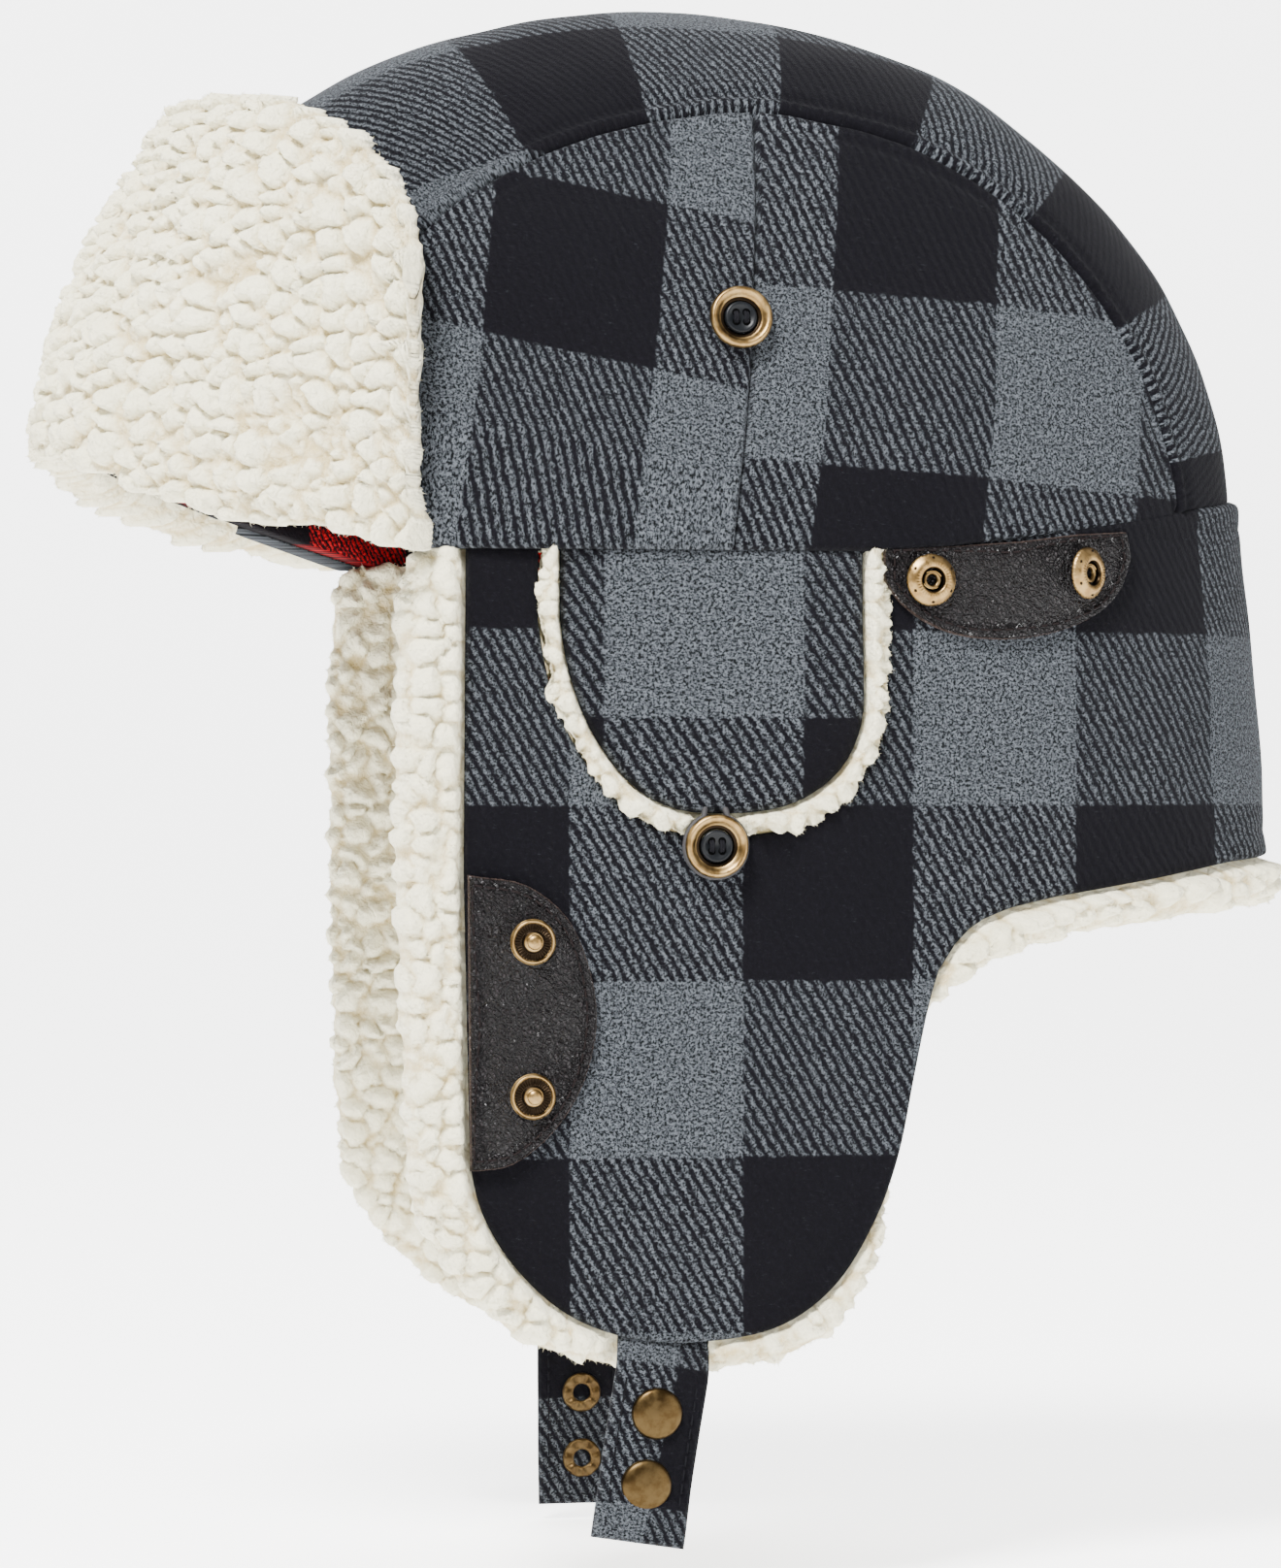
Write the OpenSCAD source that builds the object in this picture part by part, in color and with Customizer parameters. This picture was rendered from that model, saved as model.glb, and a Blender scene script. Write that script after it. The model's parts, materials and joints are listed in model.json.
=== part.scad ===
// Trapper hat: quilted wool crown, turned-up front visor, two ear flaps with
// ear-port flaps and chin straps, and a neck flap round the back.
// +X is forward, +Y is the wearer's left, +Z is up. The origin is the centre of
// the head opening, on the seam between the crown and the flaps. Millimetres.

/* [Crown] */
// Half of the crown's length, front to back
crown_a = 147; // [140:1:152]
// Half of the crown's width
crown_b = 72; // [71:0.5:74]
// Height of the crown above the seam
crown_h = 136; // [128:1:142]
// Where the crown's middle stands along the length
crown_x = -3; // [-5:0.5:-1]
// Height of the crown's hem at the very back
hem_back = 14.8; // [10:0.5:16]
// Height of the crown's hem at the very front
hem_front = 27; // [22:0.5:30]

/* [Cloth] */
// Thickness of the plaid wool
wool_t = 3; // [2:0.1:3]
// Depth of the sherpa pile
pile_t = 10; // [8:0.5:10]
// Thickness of the quilted wadding in the crown
wadding_t = 4; // [3:0.5:5]
// Thickness of the flannel lining
lining_t = 1.4; // [1:0.1:2]
// Air left between two layers
ply_gap = 0.8; // [0.6:0.1:1]

/* [Flaps] */
// Distance of the ear flaps' outer face from the middle
skirt_y = 68; // [66:0.5:69]
// Height of the ear flaps' lowest wool edge
flap_low = -190; // [-200:1:-180]
// Distance of the ear flaps' front wool edge
flap_front = 55.5; // [54:0.5:57]
// How far the sherpa shows past the wool in front
pile_front = 15; // [10:0.5:16]
// How far the sherpa shows past the wool below
pile_low = 6.8; // [5:0.2:9]
// Slope of the diagonal line on which an ear flap folds
fold_slope = 0.918; // [0.9:0.002:0.94]
// Distance of the neck flap's lower back edge behind its front ends
neck_back = 108; // [104:1:110]

/* [Visor] */
// How far the turned-up visor stands out from the crown
visor_t = 13; // [12:0.5:14]
// How far its top edge leans away from the crown
visor_lean = 8; // [6:0.5:9]
// Height of its top edge in the middle
visor_top = 112; // [106:1:114]
// Height of its top edge at the rear ends
visor_end_top = 78; // [72:1:84]

/* [Trim] */
// Outer diameter of a button
button_d = 15.2; // [14:0.1:16]
// Diameter of a snap cap
cap_d = 12; // [11:0.1:13]
// Diameter of a stud's flange
stud_d = 10.3; // [9:0.1:11]
// Thickness of the leather
leather_t = 1.8; // [1.4:0.1:2]
// Width of a chin strap
strap_w = 22.5; // [20:0.5:25]
// Thickness of a chin strap
strap_t = 3; // [2.4:0.1:3]
// Length of the left chin strap below its fold
left_strap_l = 38; // [36:1:50]
// Length of the right chin strap below its fold
right_strap_l = 47; // [45:1:56]

/* [Hidden] */

// Exponents of the crown's outline seen from above and from the side.
plan_e = 2.6;
rise_e = 2.1;
// The seam gap between two sewn panels, and the gap along a moving edge.
seam_gap = 0.4;
fold_gap = 0.5;
pile_gap = 1;
top_gap = 0.6;
port_gap = 0.8;
sherpa_y = skirt_y - wool_t - 0.2;
// One point of the diagonal fold line, and the notch where it ends.
fold_x = -5.85;
fold_z = -51.55;
notch_x = -61;
// Front ends of the curved neck flap.
neck_x = -46.8;
neck_flare = 0.09;
neck_e = 2.2;
// The angle, seen from above, at which the visor bends, and its rear ends.
visor_bend = 27.5;
visor_end = 61.5;
visor_gap = 0.12;
visor_off = 0.8;
// Chin strap hinge line, and the slant of the left strap.
strap_y = skirt_y + 0.5;
strap_z = flap_low - pile_low - 3;
left_strap_x = 8.5;
right_strap_x = 3;
left_strap_slant = 9;
snap_pitch = 17.2;
left_snap_drop = 7;
right_snap_drop = 17.7;
brass = "darkgoldenrod";
cream = "ivory";
wool = "dimgray";
leather = "#3a3032";

// ---------- general shapes ----------

function power(v, e) = pow(abs(v), e);
function unit(v) = v / norm(v);

// A smooth open curve through the points p, n steps to a span.
function curve(p, n = 4) = [
  for (i = [0 : len(p) - 2], k = [0 : n - 1])
    let (a = p[max(i - 1, 0)], b = p[i], c = p[i + 1], d = p[min(i + 2, len(p) - 1)])
    let (t = k / n)
    b + 0.5 * t * ((c - a) + t * ((2 * a - 5 * b + 4 * c - d) + t * (3 * b - 3 * c + d - a))),
  p[len(p) - 1]
];

// A closed sheet between two grids of points with the same rows and columns.
// Seen from outside, the columns run anticlockwise of the rows.
module sheet(outer, inner) {
  rows = len(outer);
  cols = len(outer[0]);
  all = rows * cols;
  function at(side, r, c) = side * all + r * cols + c;
  faces = concat(
    [for (r = [0 : rows - 2], c = [0 : cols - 2])
      each [[at(0, r, c), at(0, r, c + 1), at(0, r + 1, c + 1)],
        [at(0, r, c), at(0, r + 1, c + 1), at(0, r + 1, c)],
        [at(1, r, c), at(1, r + 1, c + 1), at(1, r, c + 1)],
        [at(1, r, c), at(1, r + 1, c), at(1, r + 1, c + 1)]]],
    [for (c = [0 : cols - 2])
      each [[at(0, 0, c), at(1, 0, c), at(1, 0, c + 1)],
        [at(0, 0, c), at(1, 0, c + 1), at(0, 0, c + 1)],
        [at(0, rows - 1, c), at(1, rows - 1, c + 1), at(1, rows - 1, c)],
        [at(0, rows - 1, c), at(0, rows - 1, c + 1), at(1, rows - 1, c + 1)]]],
    [for (r = [0 : rows - 2])
      each [[at(0, r, 0), at(1, r + 1, 0), at(1, r, 0)],
        [at(0, r, 0), at(0, r + 1, 0), at(1, r + 1, 0)],
        [at(0, r, cols - 1), at(1, r, cols - 1), at(1, r + 1, cols - 1)],
        [at(0, r, cols - 1), at(1, r + 1, cols - 1), at(0, r + 1, cols - 1)]]]
  );
  polyhedron([for (side = [outer, inner], row = side, p = row) p], faces);
}

// A closed dome between two grids whose columns run right round.
module dome(inner, outer) {
  rows = len(inner);
  cols = len(inner[0]);
  all = rows * cols;
  function at(side, r, c) = side * all + r * cols + c % cols;
  faces = concat(
    [for (r = [0 : rows - 2], c = [0 : cols - 1])
      each [[at(0, r, c), at(0, r + 1, c + 1), at(0, r, c + 1)],
        [at(0, r, c), at(0, r + 1, c), at(0, r + 1, c + 1)],
        [at(1, r, c), at(1, r, c + 1), at(1, r + 1, c + 1)],
        [at(1, r, c), at(1, r + 1, c + 1), at(1, r + 1, c)]]],
    [for (c = [0 : cols - 1])
      each [[at(0, 0, c), at(0, 0, c + 1), at(1, 0, c + 1)],
        [at(0, 0, c), at(1, 0, c + 1), at(1, 0, c)]]],
    [[for (c = [0 : cols - 1]) at(0, rows - 1, c)]],
    [[for (c = [cols - 1 : -1 : 0]) at(1, rows - 1, c)]]
  );
  polyhedron([for (side = [inner, outer], row = side, p = row) p], faces);
}

// The right side is the left side mirrored.
module sided(side) {
  mirror([0, side < 0 ? 1 : 0, 0]) children();
}

// An outline in the X-Z plane made into a plate from y = low to y = high.
module plate(outline, low, high) {
  translate([0, high, 0]) rotate([90, 0, 0])
    linear_extrude(high - low) polygon(outline);
}

// Stands the children at p with their own +Z along n.
module facing(p, n) {
  translate(p)
    rotate([0, acos(n[2] / norm(n)), atan2(n[1], n[0])]) children();
}

// ---------- crown ----------

// Height of the crown's hem at a place along the length.
function hem(x) = x > 64 ? hem_front * min(1, (x - 64) / 80)
  : x < -45 ? hem_back * min(1, pow((-45 - x) / 105, 1.2)) : 0;

// The point of the crown's surface in the direction d, moved in by inset.
function on_crown(d, inset = 0) =
  let (r = pow(power(d[0] / (crown_a - inset), plan_e)
    + power(d[1] / (crown_b - inset), plan_e), rise_e / plan_e))
  let (k = pow(r + power(d[2] / (crown_h - inset), rise_e), -1 / rise_e))
  [crown_x + d[0] * k, d[1] * k, d[2] * k];

// How far the top panel reaches to the side, at an angle from back to front.
function top_reach(v) = 58 + 22 * pow(max(0, min(1, (v - 80) / 50)), 1.3);

// A direction on the top panel: v from back to front, w from -1 to 1 across.
function top_dir(v, w) =
  [-crown_a * cos(v), w * top_reach(v), crown_h * sin(v)];

// The angle round the hem that belongs to the angle v along the top seam.
function hem_angle(v) = v < side_seam ? 39 + (v - top_back) * 48.6 / (side_seam - top_back)
  : 87.6 + (v - side_seam) * 42.4 / (top_front - side_seam);

function hem_dir(b) =
  let (x = -crown_a * cos(b))
  [x, crown_b * sin(b), hem(crown_x + x)];

top_back = 6;
top_front = 168;
side_seam = 82;

// One side panel between two angles along the top seam.
function side_grid(v0, v1, inset, steps = 14, rise = 9) = [
  for (i = [0 : steps])
    let (v = v0 + (v1 - v0) * i / steps)
    let (low = on_crown(hem_dir(hem_angle(v))) - [crown_x, 0, 0])
    let (high = on_crown(top_dir(v, 1)) - [crown_x, 0, 0])
    let (trim = seam_gap / norm(high - low))
    [for (k = [0 : rise])
      let (t = k / rise * (1 - trim))
      on_crown(low + (high - low) * t, inset)]
];

module side_panel(v0, v1) {
  sheet(side_grid(v0, v1, wool_t), side_grid(v0, v1, 0));
}

module front_panel() {
  side_panel(side_seam + seam_gap / 2, top_front - 12);
}

module rear_panel() {
  side_panel(top_back + 12, side_seam - seam_gap / 2);
}

function top_grid(inset, steps = 36, across = 14) = [
  for (i = [0 : steps])
    let (v = top_back + (top_front - top_back) * i / steps)
    [for (k = [0 : across]) on_crown(top_dir(v, 2 * k / across - 1), inset)]
];

module crown_top_panel() {
  color(wool) sheet(top_grid(0), top_grid(wool_t));
}

module crown_left_front_panel() {
  color(wool) front_panel();
}

module crown_left_rear_panel() {
  color(wool) rear_panel();
}

module crown_right_front_panel() {
  color(wool) sided(-1) front_panel();
}

module crown_right_rear_panel() {
  color(wool) sided(-1) rear_panel();
}

// A full dome inside the crown, from just above the hem to its top.
function dome_grid(inset, round = 48, rise = 11) = [
  for (k = [0 : rise])
    let (e = 88 * pow(k / rise, 0.9))
    [for (i = [0 : round - 1])
      let (b = 360 * i / round)
      let (x = -crown_a * cos(b))
      on_crown([x * cos(e), crown_b * sin(b) * cos(e),
        (hem(crown_x + x) + 1.5) * cos(e) + crown_h * sin(e)], inset)]
];

wadding_in = wool_t + 2 * ply_gap;
lining_in = wadding_in + wadding_t + ply_gap;

module crown_wadding() {
  color("whitesmoke") dome(dome_grid(wadding_in + wadding_t), dome_grid(wadding_in));
}

module crown_lining() {
  color("firebrick") dome(dome_grid(lining_in + lining_t), dome_grid(lining_in));
}

// ---------- neck flap ----------

// Outline of the neck flap at the angle a from above, at height z, moved in.
function neck_point(a, z, inset) =
  let (back = neck_back - neck_flare * z - inset, wide = skirt_y - inset)
  let (r = pow(power(cos(a) / back, neck_e) + power(sin(a) / wide, neck_e), -1 / neck_e))
  [neck_x + r * cos(a), r * sin(a), z];

function fold(x) = fold_z + fold_slope * (x - fold_x);

// Lower edges of the neck flap's wool and of its sherpa, by place along the length.
neck_wool_edge = [[-165, -74], [-139, -76.4], [-116, -80.5], [-91, -84.4], [-79, -87],
  [-70, -90.5], [-64, -96], [notch_x, fold(notch_x) + fold_gap],
  [neck_x, fold(neck_x) + fold_gap]];
neck_pile_edge = [[-165, -86], [-140, -88], [-116, -91], [-97, -94], [-80, -97],
  [-70, -101], [notch_x, fold(notch_x) + pile_gap], [neck_x, fold(neck_x) + pile_gap]];

neck_turn = [90, 95, 101.8, 105, 109, 114, 120, 126, 132, 139, 147, 156, 166, 174];
neck_stations = concat(neck_turn, [180], [for (i = [13 : -1 : 0]) 360 - neck_turn[i]]);

// How much lower the crown's rim is for each millimetre of its thickness.
rim_slope = 0.15;

function neck_grid(edge, inset) = [
  for (a = neck_stations)
    let (x = neck_point(a, 0, inset)[0])
    let (top = hem(x) - top_gap - rim_slope * inset, low = lookup(x, edge))
    [for (k = [0 : 4]) neck_point(a, top + (low - top) * k / 4, inset)]
];

// The small planar wedge between the ear port and the diagonal fold.
module port_wedge(low, high) {
  wedge = [[neck_x - 0.4, -42], [neck_x - 0.4, fold(neck_x) + fold_gap],
    [-20, fold(-20) + fold_gap], [-20, -58]];
  difference() {
    plate(wedge, low, high);
    plate(port_outline(port_gap), low - 1, high + 1);
  }
}

module neck_flap_shell() {
  color(wool) union() {
    sheet(neck_grid(neck_wool_edge, wool_t), neck_grid(neck_wool_edge, 0));
    for (side = [1, -1]) sided(side) port_wedge(skirt_y - wool_t, skirt_y);
  }
}

module neck_flap_sherpa() {
  color(cream) union() {
    sheet(neck_grid(neck_pile_edge, wool_t + 0.5 + pile_t),
      neck_grid(neck_pile_edge, wool_t + 0.5));
    for (side = [1, -1])
      sided(side) port_wedge(sherpa_y - pile_t, sherpa_y - 0.3);
  }
}

// The leather patch that hangs over the neck flap from the crown seam.
patch_turn = [92, 97, 103, 110, 117, 124, 130, 135, 138];
patch_drop = [[-112, -3], [-109, -6], [-106, -10.5], [-100, -15.5], [-90, -19.5], [-78, -21.5],
  [-66, -21], [-57, -18], [-50, -12], [-45, -7]];

function patch_grid(rise) = [
  for (a = patch_turn)
    let (x = neck_point(a, 0, 0)[0])
    let (top = hem(x) - top_gap, low = lookup(x, patch_drop))
    [for (k = [0 : 3]) neck_point(a, top + (low - top) * k / 3, -rise)]
];

patch_lift = 0.3;

module rear_patch() {
  sheet(patch_grid(patch_lift), patch_grid(patch_lift + leather_t));
}

module left_rear_patch() {
  color(leather) rear_patch();
}

module right_rear_patch() {
  color(leather) sided(-1) rear_patch();
}

// ---------- snaps and buttons ----------

// A socket: a domed ring with an open middle and a narrow inner tube.
module socket() {
  rotate_extrude($fn = 48)
    polygon([[2.8, 0], [cap_d / 2, 0], [cap_d / 2 + 0.3, 0.5], [cap_d / 2 - 0.2, 1.3],
      [4.6, 2.4], [3.6, 2.5], [2.8, 1.9]]);
  difference() {
    cylinder(d = 4.8, h = 1.2, $fn = 32);
    translate([0, 0, -0.5]) cylinder(d = 2.6, h = 2.2, $fn = 32);
  }
  for (turn = [0, 180])
    rotate(turn) translate([2.1, -0.3, 0]) cube([1.6, 0.6, 1]);
}

// A stud: a flanged rim, a recessed disc and a collar with a ball.
module stud() {
  rotate_extrude($fn = 48)
    polygon([[0, 0], [stud_d / 2, 0], [stud_d / 2 + 0.1, 0.5], [stud_d / 2 - 0.5, 1],
      [stud_d / 2 - 0.9, 0.7], [2.7, 0.7], [2.5, 1.3], [1.6, 1.5], [1.5, 2.2], [1.85, 2.8],
      [1.6, 3.5], [0.9, 3.9], [0, 4]]);
}

// A plain domed cap on the outside of a snap.
module cap() {
  rotate_extrude($fn = 48)
    polygon([[0, 0], [cap_d / 2 - 0.4, 0], [cap_d / 2, 0.4], [cap_d / 2 - 0.3, 0.9],
      [4.6, 1.7], [3, 2.2], [0, 2.4]]);
}

// An eyelet ring round the back of a snap.
module eyelet() {
  rotate_extrude($fn = 40)
    polygon([[2.2, 0], [4.8, 0], [5, 0.5], [4.3, 1], [2.9, 1], [2.2, 0.6]]);
}

// The dished brass ring of a button.
module button_rim() {
  rotate_extrude($fn = 56)
    polygon([[4.1, 0.2], [5.2, 0], [button_d / 2 - 0.8, 0.4], [button_d / 2, 1.4],
      [button_d / 2 - 0.1, 2.6], [button_d / 2 - 0.8, 3.2], [button_d / 2 - 1.7, 2.7],
      [5, 1.7], [4.1, 1.6]]);
}

hole_r = 1.35;
hole_d = 1.2;

// The black four-hole middle of a button.
module button_core() {
  difference() {
    rotate_extrude($fn = 40)
      polygon([[0, 0.2], [3.9, 0.2], [3.9, 1.9], [3.4, 2.4], [2.6, 2], [0, 1.9]]);
    for (turn = [45 : 90 : 315])
      rotate(turn) translate([hole_r, 0, -1]) cylinder(d = hole_d, h = 5, $fn = 20);
  }
}

// Two stitches of thread through the four holes.
module button_thread() {
  for (side = [1, -1])
    translate([0, side * hole_r * sin(45), 0]) {
      for (end = [1, -1])
        translate([end * hole_r * cos(45), 0, 0.2]) cylinder(d = 0.9, h = 2.2, $fn = 16);
      translate([-hole_r * cos(45), -0.45, 2.1]) cube([2 * hole_r * cos(45), 0.9, 0.5]);
    }
}

// Places on the neck flap where the two sockets sit, with the wall's direction.
socket_turns = [98.2, 127.2];
socket_drops = [-8, -5.8];

module at_rear_sockets() {
  for (i = [0, 1]) {
    a = socket_turns[i];
    z = socket_drops[i];
    p = neck_point(a, z, -patch_lift - leather_t - 0.25);
    q = neck_point(a + 1, z, -patch_lift - leather_t - 0.25);
    facing(p, [q[1] - p[1], p[0] - q[0], 0]) children();
  }
}

module left_rear_sockets() {
  color(brass) at_rear_sockets() socket();
}

module right_rear_sockets() {
  color(brass) sided(-1) at_rear_sockets() socket();
}

// The crown button's place and the crown's own direction there.
crown_button_x = -11;
crown_button_z = 54;

module at_crown_button() {
  dx = crown_button_x - crown_x;
  side = power(dx / crown_a, plan_e);
  rise = pow(1 - power(crown_button_z / crown_h, rise_e), plan_e / rise_e);
  y = crown_b * pow(rise - side, 1 / plan_e);
  lean = crown_b / crown_h * pow(crown_button_z / crown_h, rise_e - 1);
  normal = unit([0, 1, lean]);
  facing([crown_button_x, y, crown_button_z] + 0.5 * normal, normal) children();
}

module left_crown_button_rim() {
  color(brass) at_crown_button() button_rim();
}

module right_crown_button_rim() {
  color(brass) sided(-1) at_crown_button() button_rim();
}

module left_crown_button_core() {
  color("black") at_crown_button() button_core();
}

module right_crown_button_core() {
  color("black") sided(-1) at_crown_button() button_core();
}

module left_crown_button_thread() {
  color("black") at_crown_button() button_thread();
}

module right_crown_button_thread() {
  color("black") sided(-1) at_crown_button() button_thread();
}

// ---------- visor ----------

// Height of the visor's top edge at the angle b from the front.
function visor_height(b) = visor_top
  - (visor_top - visor_end_top) * pow(max(0, abs(b) - 20) / (visor_end - 20), 1.3);

function visor_grid(b0, b1, off, across, rise = 7) = [
  for (i = [0 : across])
    let (b = b0 + (b1 - b0) * i / across)
    let (x = crown_a * cos(b))
    let (foot = on_crown([x, crown_b * sin(b), 0]) - [crown_x, 0, 0])
    let (low = hem(crown_x + foot[0]))
    [for (k = [0 : rise])
      let (t = k / rise)
      let (z = low + (visor_height(b) - low) * t)
      let (out = off + visor_lean * t * t)
      let (shrink = pow(1 - power(z / (crown_h + out), rise_e), 1 / rise_e))
      let (p = on_crown([foot[0], foot[1], 0], -out) - [crown_x, 0, 0])
      [crown_x + p[0] * shrink, p[1] * shrink, z]]
];

module visor_part(b0, b1, from, to, across) {
  sheet(visor_grid(b0, b1, to, across), visor_grid(b0, b1, from, across));
}

visor_mid = visor_off + wool_t;

module visor_backing() {
  color(wool) visor_part(-visor_bend + visor_gap, visor_bend - visor_gap, visor_off,
    visor_mid, 8);
}

module visor_sherpa() {
  color(cream) visor_part(-visor_bend + visor_gap, visor_bend - visor_gap,
    visor_mid + 0.3, visor_t, 8);
}

module wing_backing() {
  visor_part(visor_bend + visor_gap, visor_end, visor_off, visor_mid, 7);
}

module wing_sherpa() {
  visor_part(visor_bend + visor_gap, visor_end, visor_mid + 0.3, visor_t, 7);
}

module visor_left_wing_backing() {
  color(wool) wing_backing();
}

module visor_right_wing_backing() {
  color(wool) sided(-1) wing_backing();
}

module visor_left_wing_sherpa() {
  color(cream) wing_sherpa();
}

module visor_right_wing_sherpa() {
  color(cream) sided(-1) wing_sherpa();
}

// ---------- ear flaps ----------

// Outline of the ear port flap, grown by g all round below its hinge.
port_points = [[37, -18], [34.5, -32], [28.5, -47], [18, -60.5], [5, -67.5], [-12, -68.5],
  [-27, -65.5], [-39, -57], [-45, -45], [-46, -32], [-46, -18]];
port_centre = [-4.5, -18];

function port_outline(g) = concat(
  [[37 + g, g > 0 ? 1 : -top_gap]],
  [for (p = curve(port_points, 3)) p + g * unit(p - port_centre)],
  [[-46 - g, g > 0 ? 1 : -top_gap]]);

// The lower round edge that the wool and the sherpa share behind the chin.
flap_heel = [[-50.5, -146], [-54.5, -127], [-58, -111], [notch_x + 0.4, fold(notch_x) - fold_gap - 1]];

wool_outline = concat(
  [[50, -top_gap - 0.1], [flap_front - 0.5, -top_gap], [flap_front, -78]],
  curve(concat([[flap_front - 1.5, -147], [51, -159], [43, -172], [30, -183.5],
    [13, flap_low + 0.4], [-6, flap_low], [-22, -186.5], [-35, -177], [-44.5, -162]],
    flap_heel), 3),
  [[notch_x + 0.6, fold(notch_x) - fold_gap]]);

pile_x = flap_front + pile_front;
pile_z = flap_low - pile_low;

pile_outline = concat(
  [[50, -top_gap - 0.1], [flap_front + 6, -top_gap], [pile_x - 1.5, -9], [pile_x, -78]],
  curve(concat([[pile_x - 2.2, -147], [64, -163], [54.5, -177], [42, -188], [30, -193.5],
    [14, pile_z + 0.3], [-10, pile_z], [-27, -193.5], [-39, -183], [-46, -166]],
    flap_heel), 3),
  [[notch_x + 0.6, fold(notch_x) - fold_gap]]);

module flap_plate(outline, low, high) {
  difference() {
    plate(outline, low, high);
    plate(port_outline(port_gap), low - 1, high + 1);
  }
}

module earflap_shell() {
  flap_plate(wool_outline, skirt_y - wool_t, skirt_y);
}

// The sherpa lining, with the roll of pile in front of the wool's edge. Its
// lower edge is rounded off where the chin strap swings under it.
module earflap_sherpa() {
  difference() {
    flap_plate(pile_outline, sherpa_y - pile_t, sherpa_y);
    translate([left_strap_x, sherpa_y, pile_z]) rotate([45, 0, 0])
      cube([strap_w + 12, 8, 8], center = true);
  }
  intersection() {
    plate(pile_outline, sherpa_y - 1, skirt_y);
    translate([flap_front + 0.3, 0, -150]) cube([pile_front, skirt_y, 140]);
  }
}

patch_outline = concat(
  [[54.5, -78.5]],
  curve([[52, -79], [41, -81], [31, -89], [25.5, -102], [24.2, -115], [27.5, -128.5],
    [34.5, -139.5], [44, -147], [52, -148.5]], 3),
  [[54, -148.5]]);

module front_patch() {
  plate(patch_outline, skirt_y + patch_lift, skirt_y + patch_lift + leather_t);
}

stud_x = 39.6;
stud_zs = [-94.4, -131];
stud_y = skirt_y + patch_lift + leather_t + 0.1;

module front_studs() {
  for (z = stud_zs) facing([stud_x, stud_y, z], [0, 1, 0]) stud();
}

lower_button = [-4.8, skirt_y + 0.3, -71.8];
button_notch = 9;

// The strap's sewn end on the wool, just above its fold.
tab_t = 1.6;
tab_l = 16;
tab_lift = 4.2;

module strap_tab(x, slant) {
  strap_place(x, slant) translate([-strap_w / 2, -0.2, tab_lift])
    cube([strap_w, tab_t, tab_l]);
}

module left_earflap_shell() {
  color(wool) earflap_shell();
}

module right_earflap_shell() {
  color(wool) sided(-1) earflap_shell();
}

module left_earflap_sherpa() {
  color(cream) earflap_sherpa();
}

module right_earflap_sherpa() {
  color(cream) sided(-1) earflap_sherpa();
}

module left_front_patch() {
  color(leather) front_patch();
}

module right_front_patch() {
  color(leather) sided(-1) front_patch();
}

module left_front_studs() {
  color(brass) front_studs();
}

module right_front_studs() {
  color(brass) sided(-1) front_studs();
}

module left_lower_button_rim() {
  color(brass) facing(lower_button, [0, 1, 0]) button_rim();
}

module right_lower_button_rim() {
  color(brass) sided(-1) facing(lower_button, [0, 1, 0]) button_rim();
}

module left_lower_button_core() {
  color("black") facing(lower_button, [0, 1, 0]) button_core();
}

module right_lower_button_core() {
  color("black") sided(-1) facing(lower_button, [0, 1, 0]) button_core();
}

module left_lower_button_thread() {
  color("black") facing(lower_button, [0, 1, 0]) button_thread();
}

module right_lower_button_thread() {
  color("black") sided(-1) facing(lower_button, [0, 1, 0]) button_thread();
}

module left_strap_tab() {
  color(wool) strap_tab(left_strap_x, -left_strap_slant);
}

module right_strap_tab() {
  color(wool) sided(-1) strap_tab(right_strap_x, 0);
}

// ---------- ear port flaps ----------

port_wool_g = -5;

// Room for the lower button at the flap's bottom edge.
module notched(low, high, notch) {
  difference() {
    children();
    translate([lower_button[0], low - 1, lower_button[2]]) rotate([-90, 0, 0])
      cylinder(r = notch, h = high - low + 2, $fn = 40);
  }
}

module port_flap_shell() {
  notched(skirt_y - wool_t, skirt_y, button_notch)
    plate(port_outline(port_wool_g), skirt_y - wool_t, skirt_y);
}

// How far the outer and the inner half of the sherpa are drawn in, and the
// inner half's wider notch, so that the flap clears its opening as it swings.
port_pile_g = [-0.7, -2.6];
inner_notch = 12.5;

// The sherpa is cut back at the top so that the flap can be laid right up.
module port_flap_sherpa() {
  half = sherpa_y - pile_t / 2 + 0.5;
  difference() {
    union() {
      notched(half, sherpa_y, button_notch + 0.8)
        plate(port_outline(port_pile_g[0]), half, sherpa_y);
      notched(sherpa_y - pile_t, half, inner_notch)
        plate(port_outline(port_pile_g[1]), sherpa_y - pile_t, half + 0.1);
    }
    translate([-60, sherpa_y - pile_t, -7]) rotate([40, 0, 0])
      translate([0, -20, 0]) cube([120, 40, 20]);
  }
}

// The elastic loop that holds the port flap to a button.
loop_d = 1.6;

module button_loop() {
  ring_z = lower_button[2];
  ring_r = button_d / 2 + 1.2;
  translate([lower_button[0], skirt_y + 1.2, ring_z]) rotate([90, 0, 0])
    rotate_extrude($fn = 48) translate([ring_r, 0]) circle(d = loop_d, $fn = 16);
}

module left_port_flap_shell() {
  color(wool) port_flap_shell();
}

module right_port_flap_shell() {
  color(wool) sided(-1) port_flap_shell();
}

module left_port_flap_sherpa() {
  color(cream) port_flap_sherpa();
}

module right_port_flap_sherpa() {
  color(cream) sided(-1) port_flap_sherpa();
}

module left_button_loop() {
  color("#1c1a1c") button_loop();
}

module right_button_loop() {
  color("#1c1a1c") sided(-1) button_loop();
}

// ---------- chin straps ----------

module strap_place(x, slant) {
  translate([x, strap_y, strap_z]) rotate([0, slant, 0]) children();
}

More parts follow.
